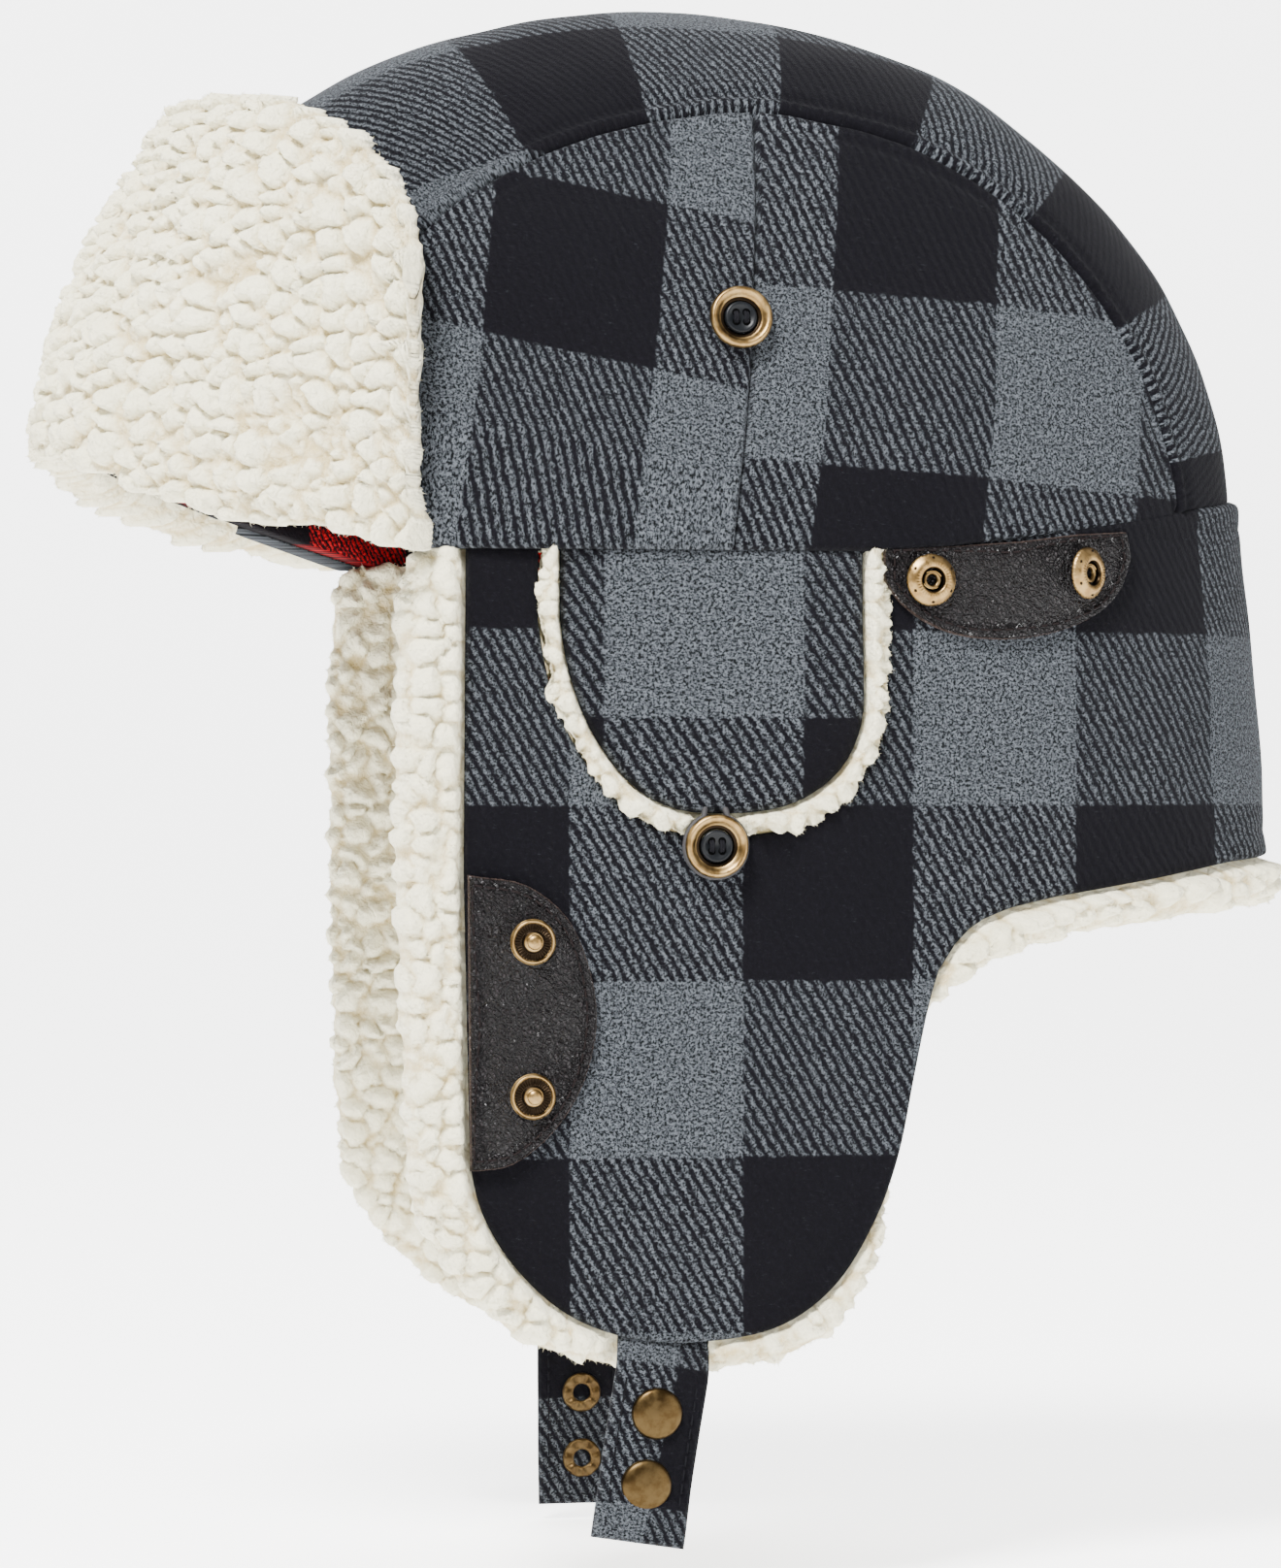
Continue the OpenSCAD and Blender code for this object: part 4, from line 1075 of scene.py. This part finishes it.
def fuzz(points, faces, tone, pick, count, length, radius, seed):
    """Adds fine curled fibres that stand out of the picked points."""
    source = np.random.default_rng(seed)
    weight = np.asarray(pick, float)
    at = source.choice(len(points), count, p=weight / weight.sum())
    normal = np.zeros((len(points), 3))
    f = np.array([q[:3] for q in faces])
    n = np.cross(points[f[:, 1]] - points[f[:, 0]], points[f[:, 2]] - points[f[:, 0]])
    for k in range(3):
        np.add.at(normal, f[:, k], n)
    normal /= np.maximum(np.linalg.norm(normal, axis=1), 1e-9)[:, None]
    way = normal[at] + 0.75 * source.normal(size=(count, 3))
    way /= np.linalg.norm(way, axis=1)[:, None]
    bend = np.cross(way, source.normal(size=(count, 3)))
    bend /= np.linalg.norm(bend, axis=1)[:, None]
    long = (length * source.uniform(0.5, 1.3, count))[:, None]
    root = points[at] - 0.3 * way
    middle = root + 0.55 * long * way + 0.12 * long * bend
    tip = root + 0.9 * long * way + 0.5 * long * bend
    side = np.cross(way, bend)
    rings = []
    for centre, r in ((root, radius), (middle, 0.8 * radius)):
        for k in range(3):
            a = 2 * math.pi * k / 3
            rings.append(centre + r * (math.cos(a) * bend + math.sin(a) * side))
    made = np.stack(rings + [tip], 1).reshape(-1, 3)
    base = len(points) + 7 * np.arange(count)
    new = []
    for k in range(3):
        m = (k + 1) % 3
        new.append(np.stack([base + k, base + m, base + 3 + m, base + 3 + k], 1).tolist())
        new.append(np.stack([base + 3 + k, base + 3 + m, base + 6], 1).tolist())
    new.append(np.stack([base + 2, base + 1, base], 1).tolist())
    extra = [tuple(q) for part in new for q in part]
    return (np.vstack([points, made]), list(faces) + extra,
            np.concatenate([tone, np.full(7 * count, 0.8)]))


def joined(name, parts, material, tone=None):
    """One object from several (points, faces) parts."""
    points, faces = [], []
    count = 0
    for p, f in parts:
        faces += [tuple(i + count for i in q) for q in f]
        points.append(p)
        count += len(p)
    points = np.vstack(points)
    return store(name, points, faces, material,
                 tone=np.zeros(len(points)) if tone is None else tone)


def button_loop(side_name, sign):
    """The elastic that leaves the flap's edge and goes round under the button."""
    a = np.linspace(math.radians(112), math.radians(428), 44)
    ring = np.stack([BUTTON_X + 7.4 * np.cos(a), 0 * a + SKIRT_Y + 1.5,
                     BUTTON_Z + 7.4 * np.sin(a)], 1)
    first = np.array([(BUTTON_X - 2.4, SKIRT_Y - 1.0, -61.0),
                      (BUTTON_X - 2.5, SKIRT_Y + 0.6, -63.0)])
    last = np.array([(BUTTON_X + 2.5, SKIRT_Y + 0.6, -63.0),
                     (BUTTON_X + 2.4, SKIRT_Y - 1.0, -61.0)])
    path = mirrored(np.vstack([first, ring, last]), sign)
    piece = joined(side_name + "_loop", [tube(path, LOOP_T / 2)], ELASTIC)
    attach(piece, side_name + "_port_flap")
    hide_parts(side_name + "_button_loop")


# ---------------------------------------------------------------- metal parts
def lathe(profile, segments=96, ribs=None):
    """A turned shape about +Z. ribs is (count, from r, to r, depth)."""
    prof = np.array(profile, float)
    a = np.linspace(0, 2 * math.pi, segments, endpoint=False)
    r = prof[:, 0][:, None].repeat(segments, 1)
    z = prof[:, 1][:, None].repeat(segments, 1)
    for count, low, high, depth in ribs or ():
        band = (r >= low) & (r <= high)
        z = z + np.where(band, depth * np.cos(count * a)[None, :], 0)
    pts = np.stack([r * np.cos(a), r * np.sin(a), z], 2).reshape(-1, 3)
    faces = []
    for i in range(len(prof) - 1):
        for k in range(segments):
            m = (k + 1) % segments
            faces.append((i * segments + k, i * segments + m,
                          (i + 1) * segments + m, (i + 1) * segments + k))
    if prof[0, 0] < 0.02 and prof[-1, 0] < 0.02:
        faces.append(tuple(reversed(range(segments))))
        faces.append(tuple((len(prof) - 1) * segments + k for k in range(segments)))
    else:
        last = (len(prof) - 1) * segments
        for k in range(segments):
            m = (k + 1) % segments
            faces.append((last + k, last + m, m, k))
    return pts, faces


def smooth_profile(points, n=4):
    return curve(points, n)


def placed(part, at, normal):
    """Turns a part's +Z along normal and moves it to at."""
    z = np.array(normal, float)
    z /= np.linalg.norm(z)
    x = np.cross((0, 0, 1), z)
    x = x / np.linalg.norm(x) if np.linalg.norm(x) > 1e-6 else np.array((1.0, 0, 0))
    y = np.cross(z, x)
    pts, faces = part
    return pts @ np.stack([x, y, z]) + np.array(at), faces


def metal(name, parts, body, node, material=BRASS, hollow=None):
    piece = joined(name, parts, material, hollow)
    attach(piece, body)
    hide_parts(node)
    return piece


def centres(node, count=1, axis=2):
    """The middles of a node's like pieces, in millimetres, highest first."""
    mesh = frame["nodes"][node].data
    p = np.array([v.co for v in mesh.vertices]) * 1000
    order = np.argsort(-p[:, axis])
    p = p[order]
    if count == 1:
        return [(p.min(0) + p.max(0)) / 2]
    cut = np.argmax(-np.diff(p[:, axis])) + 1
    return [(q.min(0) + q.max(0)) / 2 for q in (p[:cut], p[cut:])]


RIM_PROFILE = smooth_profile([(4.2, 0.3), (5.4, 0.1), (6.9, 0.5), (7.6, 1.5), (7.5, 2.6),
                              (6.9, 3.2), (6.1, 2.9), (5.2, 1.9), (4.3, 1.6), (4.05, 1.2)], 4)
CORE_PROFILE = [(0.01, 0.3), (3.95, 0.3), (3.95, 1.8), (3.7, 2.25), (3.3, 2.35), (2.9, 2.0),
                (0.01, 1.75)]


def button(name, node, body, at, normal):
    """A dished brass ring round a black middle, its four holes flat dark discs of painted shade,
    with its stitches.
    """
    tone = np.zeros(len(RIM_PROFILE) * 96)
    for i, (r, z) in enumerate(RIM_PROFILE):
        tone[i * 96:(i + 1) * 96] = 0.9 if r < 5.0 else 0.45 if r > 7.5 else 0.1
    metal(name + "_rim", [placed(lathe(RIM_PROFILE), at, normal)], body, node + "_rim",
          BRASS, tone)
    core = placed(lathe(CORE_PROFILE, 64), at, normal)
    # The holes are not cut: flat dark discs on the core paint their shade.
    marks = []
    for dx in (-1, 1):
        for dy in (-1, 1):
            disc = lathe([(0.01, 1.6), (0.95, 1.6), (0.95, 1.95), (0.8, 2.03), (0.01, 2.03)], 24)
            marks.append(placed((disc[0] + (1.3 * dx, 1.2 * dy, 0), disc[1]), at, normal))
    holes = joined(name + "_holes", marks, HOLE_SHADE)
    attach(holes, body)
    piece = joined(name + "_core", [core], BLACK)
    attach(piece, body)
    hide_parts(node + "_core")
    threads = []
    for side in (-1, 1):
        arch = []
        for k in np.linspace(0, 1, 9):
            lift = 1.55 + 1.15 * math.sin(math.pi * k) ** 0.7
            arch.append((side * 1.0, -1.35 + 2.7 * k, lift))
        threads.append(placed(tube(arch, 0.42), at, normal))
        twin = [(x + side * 0.5, y, h - 0.1) for x, y, h in arch]
        threads.append(placed(tube(twin, 0.38), at, normal))
    piece = joined(name + "_thread", threads, THREAD)
    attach(piece, body)
    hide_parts(node + "_thread")


SOCKET_PROFILE = smooth_profile([(2.75, 0.1), (4.4, 0.0), (6.0, 0.0), (6.3, 0.5), (6.1, 1.1),
                                 (5.5, 1.7), (4.8, 2.25), (4.0, 2.5), (3.2, 2.35),
                                 (2.8, 1.7)], 4)
STUD_PROFILE = smooth_profile([(0.01, 0.0), (5.1, 0.0), (5.25, 0.5), (5.0, 0.95), (4.6, 0.9),
                               (4.35, 0.45), (3.4, 0.4), (2.7, 0.55), (2.5, 1.25), (1.7, 1.45),
                               (1.45, 2.0), (1.8, 2.7), (1.7, 3.3), (1.0, 3.8),
                               (0.01, 3.9)], 4)
CAP_PROFILE = smooth_profile([(0.01, 0.0), (5.6, 0.0), (6.0, 0.4), (5.75, 0.95), (4.9, 1.45),
                              (3.2, 1.95), (0.01, 2.2)], 5)
EYELET_PROFILE = smooth_profile([(2.2, 0.0), (4.9, 0.0), (5.0, 0.5), (4.4, 0.95), (3.0, 0.95),
                                 (2.3, 0.6)], 4)


def sockets(name, node, body, places):
    """Snap sockets: a brass ring with a spring inside."""
    parts, tones = [], []
    for at, normal in places:
        ring = lathe(SOCKET_PROFILE, 120, [(40, 6.05, 6.4, 0.12), (36, 3.4, 4.6, 0.07)])
        parts.append(placed(ring, at, normal))
        tones.append(np.repeat([0.75 if r < 3.2 else 0.15 for r, z in SOCKET_PROFILE], 120))
        inner = lathe([(1.3, 0.1), (2.3, 0.1), (2.3, 1.1), (1.9, 1.5), (1.5, 1.3),
                       (1.3, 0.9)], 40)
        parts.append(placed(inner, at, normal))
        tones.append(np.full(240, 0.5))
        for turn_by in (0, math.pi):
            a = np.linspace(0.4, 2.2, 14) + turn_by
            wire = np.stack([2.5 * np.cos(a), 2.1 * np.sin(a), 0 * a + 1.2], 1)
            made = tube(wire, 0.22, 6)
            parts.append(placed(made, at, normal))
            tones.append(np.zeros(len(made[0])))
        for k in range(6):
            a = 2 * math.pi * (k + 0.5) / 6
            mark = lathe([(0.01, 0.0), (0.5, 0.0), (0.35, 0.25), (0.01, 0.3)], 5)
            spot = (mark[0] + (5.25 * math.cos(a), 5.25 * math.sin(a), 1.8), mark[1])
            parts.append(placed(spot, at, normal))
            tones.append(np.full(20, 0.9))
    metal(name, parts, body, node, BRASS, np.concatenate(tones))


def studs(name, node, body, places):
    """Snap studs: a ribbed dish with a ball in its middle."""
    parts, tones = [], []
    for at, normal in places:
        made = lathe(STUD_PROFILE, 144, [(36, 2.8, 4.45, 0.16)])
        parts.append(placed(made, at, normal))
        tones.append(np.repeat([0.85 if 1.3 < r < 4.45 and z < 1.35 and z > 0.1 else 0.1
                                for r, z in STUD_PROFILE], 144))
    metal(name, parts, body, node, BRASS, np.concatenate(tones))


def simple_metal(name, node, body, places, profile, material, tone, ribs=None):
    """Turned parts of one profile: caps and eyelets."""
    parts = [placed(lathe(profile, 96, ribs), at, normal) for at, normal in places]
    count = sum(len(p[0]) for p in parts)
    metal(name, parts, body, node, material, np.full(count, tone))


# ---------------------------------------------------------------- leather and stitches
def stitch_row(path, normals, length=2.5, gap=0.9, radius=0.28, lift=0.12):
    """Short raised stitches along a path that lies on a surface."""
    path = np.asarray(path, float)
    run = np.concatenate([[0], np.cumsum(np.linalg.norm(np.diff(path, axis=0), axis=1))])
    parts = []
    at = 0.4
    while at + length < run[-1]:
        k = np.linspace(at, at + length, 6)
        pts = np.stack([np.interp(k, run, path[:, i]) for i in range(3)], 1)
        nrm = np.stack([np.interp(k, run, normals[:, i]) for i in range(3)], 1)
        arch = np.sin(np.linspace(0, math.pi, 6)) * 0.3 + lift - 0.1
        parts.append(tube(pts + nrm * arch[:, None], radius, 6))
        at += length + gap
    return parts


def skirt_normals(p):
    a = skirt(p, 0.0)
    b = skirt(p, -1.0)
    n = b - a
    return n / np.linalg.norm(n, axis=1)[:, None]


LEATHER_T = 1.8


def leather_patch(name, node, outline, body, sign, seed):
    """A pebbled leather patch with a raw edge and a stitched border."""
    p, tris, loops = region(outline, [], 1.3, rings=(0.35, 0.9))
    rim = edge_distance(p, loops[0])
    base = skirt(p, 0.0)
    wave = 0.45 * smooth_noise(base, 14.0, seed) + 0.25 * smooth_noise(base, 6.0, seed + 1)
    sink = 0.35 * np.exp(-((rim - 2.4) / 0.7) ** 2)
    top = 0.55 + LEATHER_T + wave * dome(rim, 8) - 0.9 * (1 - dome(rim, 0.9)) - sink
    front = skirt(p, -top)
    back = skirt(p, -(0.35 + 0 * top))
    points, faces = shell(front, back, tris,
                          (0, 0, -60), sign)
    raw = np.clip(1 - rim / 0.8, 0, 1)
    piece = store(name, points, faces, LEATHER, tone=np.concatenate([raw, raw]))
    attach(piece, body)
    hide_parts(node)
    loop = np.array(resample(outline, 0.8))
    centre = loop.mean(0)
    inner = loop + (centre - loop) / np.linalg.norm(centre - loop, axis=1)[:, None] * 2.4
    path = skirt(inner, -(0.62 + LEATHER_T - 0.3))
    normal = skirt_normals(inner)
    row = stitch_row(np.vstack([path, path[:1]]), np.vstack([normal, normal[:1]]), 2.2, 0.9,
                     0.24, 0.1)
    row = [(mirrored(q, sign), f) for q, f in row]
    thread = joined(name + "_stitches", row, STITCH)
    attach(thread, body)


FRONT_PATCH = [(55.0, -78.5)] + curve(
    [(52, -79), (41, -81), (31, -89), (25.5, -102), (24.2, -115), (27.5, -128.5),
     (34.5, -139.5), (44, -147), (52, -148.5)], 4) + [(54.4, -148.5)]
REAR_TOP = [(-108.0, 4.5), (-95.0, 3.6), (-80.0, 1.6), (-62.0, 0.2), (-46.0, -0.4)]
REAR_LOW = [(-46.0, -8), (-50, -13.5), (-57, -18.5), (-66, -21.5), (-78, -22.0), (-90, -19.8),
            (-100, -15.5), (-106, -9.5), (-109, -2)]


def rear_patch_outline():
    top = [(float(along(x)), z) for x, z in REAR_TOP]
    low = curve([(float(along(x)), z) for x, z in REAR_LOW], 4)
    return top + low


# ---------------------------------------------------------------- chin straps
def strap_flow(curl, length, drop):
    """How far a strap's free end stands off its plane, drop below its fold."""
    return curl * step(0.45 * length, length, drop) ** 1.2


def strap_lay(spots, which):
    """How far out the strap's middle lies at each of these spots."""
    x, slant, length, curl = which
    return [STRAP_Y + strap_flow(curl, length, STRAP_Z - c[2]) for c in spots]


def strap(side_name, sign, x, slant, length, curl):
    """Two sewn plies that come out from under the flap's lower edge."""
    wide, tall = 24, 90
    a = math.radians(slant)
    t = np.linspace(-length, 15.0, tall)
    w = np.linspace(-STRAP_W / 2, STRAP_W / 2, wide)
    tt, ww = np.meshgrid(t, w, indexing="ij")
    tt, ww = tt.ravel(), ww.ravel()
    edge = np.minimum(STRAP_W / 2 - np.abs(ww), tt + length)
    thick = 1.5 * (0.35 + 0.65 * dome(edge, 1.4))
    thick -= 0.22 * np.exp(-((edge - 2.6) / 0.7) ** 2)
    thick += 0.5 * step(11.5, 10.8, tt + length) * dome(edge, 1.2)
    tuck = -5.0 * step(2.0, 13.0, tt)
    flow = strap_flow(curl, length, -tt)
    base = np.stack([ww, 0 * ww, tt], 1)
    wave = 0.35 * smooth_noise(base, 12.0, 90 + sign)
    mid = tuck + flow + wave

    def out(local_y):
        px = x + ww * math.cos(a) + tt * math.sin(a)
        pz = STRAP_Z - ww * math.sin(a) + tt * math.cos(a)
        return np.stack([px, STRAP_Y + local_y, pz], 1)

    if sign > 0:
        cloth = np.stack([ww + 3.5 + 0.06 * tt, (tt - 4.3) * 1.25 + 2 * PITCH], 1)
    else:
        cloth = np.stack([ww + 60.0, tt + 19.5 + PITCH], 1)
    cut_size(side_name + "_chin_strap", out(mid).reshape(tall, wide, 3))
    points, faces = shell(out(mid + thick), out(mid - thick), grid_faces(tall, wide),
                          (x, 0, STRAP_Z - 20), sign)
    piece = store(side_name + "_chin_strap", points, faces, WOOL, np.vstack([cloth, cloth]))
    rows = []
    for inset in (STRAP_W / 2 - 2.6,):
        for way in (-1, 1):
            k = np.linspace(-length + 2.6, 1.0, 60)
            lx = way * inset + 0 * k
            rows.append((lx, k))
    k = np.linspace(-STRAP_W / 2 + 2.6, STRAP_W / 2 - 2.6, 30)
    rows.append((k, 0 * k - length + 2.6))
    parts = []
    for lx, lz in rows:
        flow_k = strap_flow(curl, length, -lz)
        px = x + lx * math.cos(a) + lz * math.sin(a)
        pz = STRAP_Z - lx * math.sin(a) + lz * math.cos(a)
        for face in (1, -1):
            path = np.stack([px, STRAP_Y + flow_k + face * 1.35 + 0 * lx, pz], 1)
            nrm = np.tile((0.0, float(face), 0.0), (len(path), 1))
            parts += stitch_row(path, nrm, 2.4, 0.9, 0.24, 0.1)
    parts = [(mirrored(q, sign), f) for q, f in parts]
    thread = joined(side_name + "_strap_stitches", parts, THREAD)
    top = mirrored([(x, STRAP_Y, STRAP_Z + 3.5)], sign)[0] * MM
    low = mirrored([(x, STRAP_Y, STRAP_Z - 1.5)], sign)[0] * MM
    for made in (piece, thread):
        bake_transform(made)
    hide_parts(side_name + "_strap", side_name + "_strap_tab")


# ---------------------------------------------------------------- the hat
def build_crown():
    """The top strip, the four side panels and the lining."""
    crown_top()
    for side_name, sign in (("left", 1), ("right", -1)):
        crown_panel(side_name + "_front_panel", "crown_" + side_name + "_front_panel",
                    SIDE_SEAM, TOP_FRONT - 3, sign, "front")
        crown_panel(side_name + "_rear_panel", "crown_" + side_name + "_rear_panel",
                    TOP_BACK + 1, SIDE_SEAM, sign, "rear")
    crown_lining()


def crown_button_place(sign):
    """Where a crown button sits, and which way it faces."""
    at = centres(("left" if sign > 0 else "right") + "_crown_button_core")[0]
    lean = CROWN_B / CROWN_H * (at[2] / CROWN_H) ** (RISE_E - 1)
    normal = np.array((0, sign, lean))
    normal /= np.linalg.norm(normal)
    return at - 1.0 * normal, normal


def build_trim():
    """Buttons, leather patches, snaps and elastic loops of both sides."""
    for side_name, sign in (("left", 1), ("right", -1)):
        out = (0, sign, 0)
        ear = side_name + "_earflap"
        at, normal = crown_button_place(sign)
        button(side_name + "_top_button", side_name + "_crown_button", "root", at, normal)
        low = (BUTTON_X, sign * (SKIRT_Y + 0.9), BUTTON_Z)
        button(side_name + "_low_button", side_name + "_lower_button", ear, low, out)
        leather_patch(side_name + "_front_leather", side_name + "_front_patch", FRONT_PATCH,
                      ear, sign, 400)
        leather_patch(side_name + "_rear_leather", side_name + "_rear_patch",
                      rear_patch_outline(), "root", sign, 420)
        spots = centres(side_name + "_front_studs", 2)
        places = [((c[0], sign * (SKIRT_Y + LEATHER_T + 0.6), c[2]), out) for c in spots]
        studs(side_name + "_studs", side_name + "_front_studs", ear, places)
        spots = centres(side_name + "_rear_sockets", 2, 0)
        places = []
        for c in spots:
            s = float(along(c[0]))
            q = np.array([(s, c[2])])
            n = mirrored(skirt_normals(q), sign)[0]
            p = mirrored(skirt(q, -(LEATHER_T + 0.6)), sign)[0]
            places.append((p, n))
        sockets(side_name + "_sockets", side_name + "_rear_sockets", "root", places)
        button_loop(side_name, sign)


def build_straps():
    """Both chin straps, with their snaps lying on the straps' faces."""
    strap("left", 1, *LEFT_STRAP)
    strap("right", -1, *RIGHT_STRAP)
    spots = centres("left_strap_caps", 2)
    lay = strap_lay(spots, LEFT_STRAP)
    places = [((c[0], y + STRAP_FACE, c[2]), (0, 1, 0)) for c, y in zip(spots, lay)]
    simple_metal("left_caps", "left_strap_caps", "left_strap", places, CAP_PROFILE,
                 CAP_BRASS, 0.25)
    places = [((c[0], y - STRAP_FACE, c[2]), (0, -1, 0)) for c, y in zip(spots, lay)]
    sockets("left_inner_sockets", "left_strap_sockets", "left_strap", places)
    spots = centres("right_strap_studs", 2)
    lay = strap_lay(spots, RIGHT_STRAP)
    places = [((c[0], -y - STRAP_FACE, c[2]), (0, -1, 0)) for c, y in zip(spots, lay)]
    studs("right_studs_outer", "right_strap_studs", "right_strap", places)
    places = [((c[0], STRAP_FACE + EYELET_PROUD - y, c[2]), (0, 1, 0))
              for c, y in zip(spots, lay)]
    simple_metal("right_eyelets", "right_strap_eyelets", "right_strap", places,
                 EYELET_PROFILE, BRASS, 0.64, [(8, 2.9, 4.7, 0.3)])


# ---------------------------------------------------------------- soft goods
def declare_sheet(piece):
    """Reads the weave coordinates of a cloth piece whose flat size was not noted, and keeps
    nothing.
    """
    if piece.name in CUT:
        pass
    else:
        weave = np.zeros(3 * len(piece.data.vertices), np.float32)
        piece.data.attributes["cloth"].data.foreach_get("vector", weave)


def declare_soft():
    """Hands every piece with cloth coordinates to declare_sheet; sherpa pieces have none and are
    skipped.
    """
    for piece in list(bpy.data.objects):
        if piece.type != "MESH" or "cloth" not in piece.data.attributes:
            continue
        if piece.name.startswith(("crown", "flannel")) or piece.name.endswith("_panel"):
            declare_sheet(piece)
        elif piece.name.endswith("chin_strap"):
            declare_sheet(piece)
        else:
            declare_sheet(piece)


# ---------------------------------------------------------------- studio
def studio():
    """A pale sweep, a big soft key, a fill and a rim light."""
    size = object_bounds()
    low = size[0][2] - 0.004
    across = np.linspace(-4, 4, 3)
    sweep = [(y, low) for y in np.linspace(2.0, -1.6, 8)]
    for a in np.linspace(0, math.pi / 2, 12)[1:]:
        sweep.append((-1.6 - 0.6 * math.sin(a), low + 0.6 * (1 - math.cos(a))))
    sweep.append((-2.2, low + 4.0))
    pts = [(x, y, z) for y, z in sweep for x in across]
    mesh = bpy.data.meshes.new("sweep")
    mesh.from_pydata(pts, [], grid_faces(len(sweep), 3).tolist())
    mesh.shade_smooth()
    floor = bpy.data.objects.new("sweep", mesh)
    m = Shader("backdrop", Roughness=0.9, Specular_IOR_Level=0.1)
    tint = m.mix(m.noise(2.0, m.coordinates()), (0.90, 0.90, 0.90, 1), (0.93, 0.93, 0.93, 1))
    m.bsdf.inputs["Emission Color"].default_value = (1, 1, 1, 1)
    m.bsdf.inputs["Emission Strength"].default_value = 2.2
    floor.data.materials.append(m.done(tint))
    bpy.context.scene.collection.objects.link(floor)
    floor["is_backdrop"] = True
    world = bpy.data.worlds.new("studio")
    bpy.context.scene.world = world
    world.use_nodes = True
    world.node_tree.nodes["Background"].inputs[0].default_value = (1, 1, 1, 1)
    world.node_tree.nodes["Background"].inputs[1].default_value = 0.62
    for name, at, wide, power in (("key", (0.75, 0.95, 1.55), 0.55, 150.0),
                                  ("fill", (-1.3, 1.4, 0.2), 1.0, 18.0),
                                  ("rim", (-0.3, -1.1, 1.2), 1.0, 22.0)):
        light = bpy.data.lights.new(name, "AREA")
        light.size = wide
        light.energy = power
        lamp = bpy.data.objects.new(name, light)
        lamp.location = at
        lamp.rotation_euler = (Vector((0, 0, -0.05)) - Vector(at)).to_track_quat(
            "-Z", "Y").to_euler()
        bpy.context.scene.collection.objects.link(lamp)


def camera():
    """Level with the hat's middle, turned 11 degrees towards its front."""
    turned = math.radians(11)
    away = 1.3
    lens = bpy.data.cameras.new("camera")
    lens.sensor_fit = "VERTICAL"
    lens.sensor_height = 36
    lens.lens = 118.7
    eye = bpy.data.objects.new("camera", lens)
    eye.location = (away * math.sin(turned), away * math.cos(turned), -0.057)
    eye.rotation_euler = (math.pi / 2, 0, math.pi - turned)
    bpy.context.scene.collection.objects.link(eye)
    bpy.context.scene.camera = eye


camera()
build_crown()
skirt_wool()
skirt_sherpa()
for name, sign in (("left", 1), ("right", -1)):
    visor_half(name, sign)
    port_flap(name, sign)
build_trim()
build_straps()
for slot in frame["nodes"]["crown_wadding"].material_slots:
    slot.material = WADDING
declare_soft()
studio()
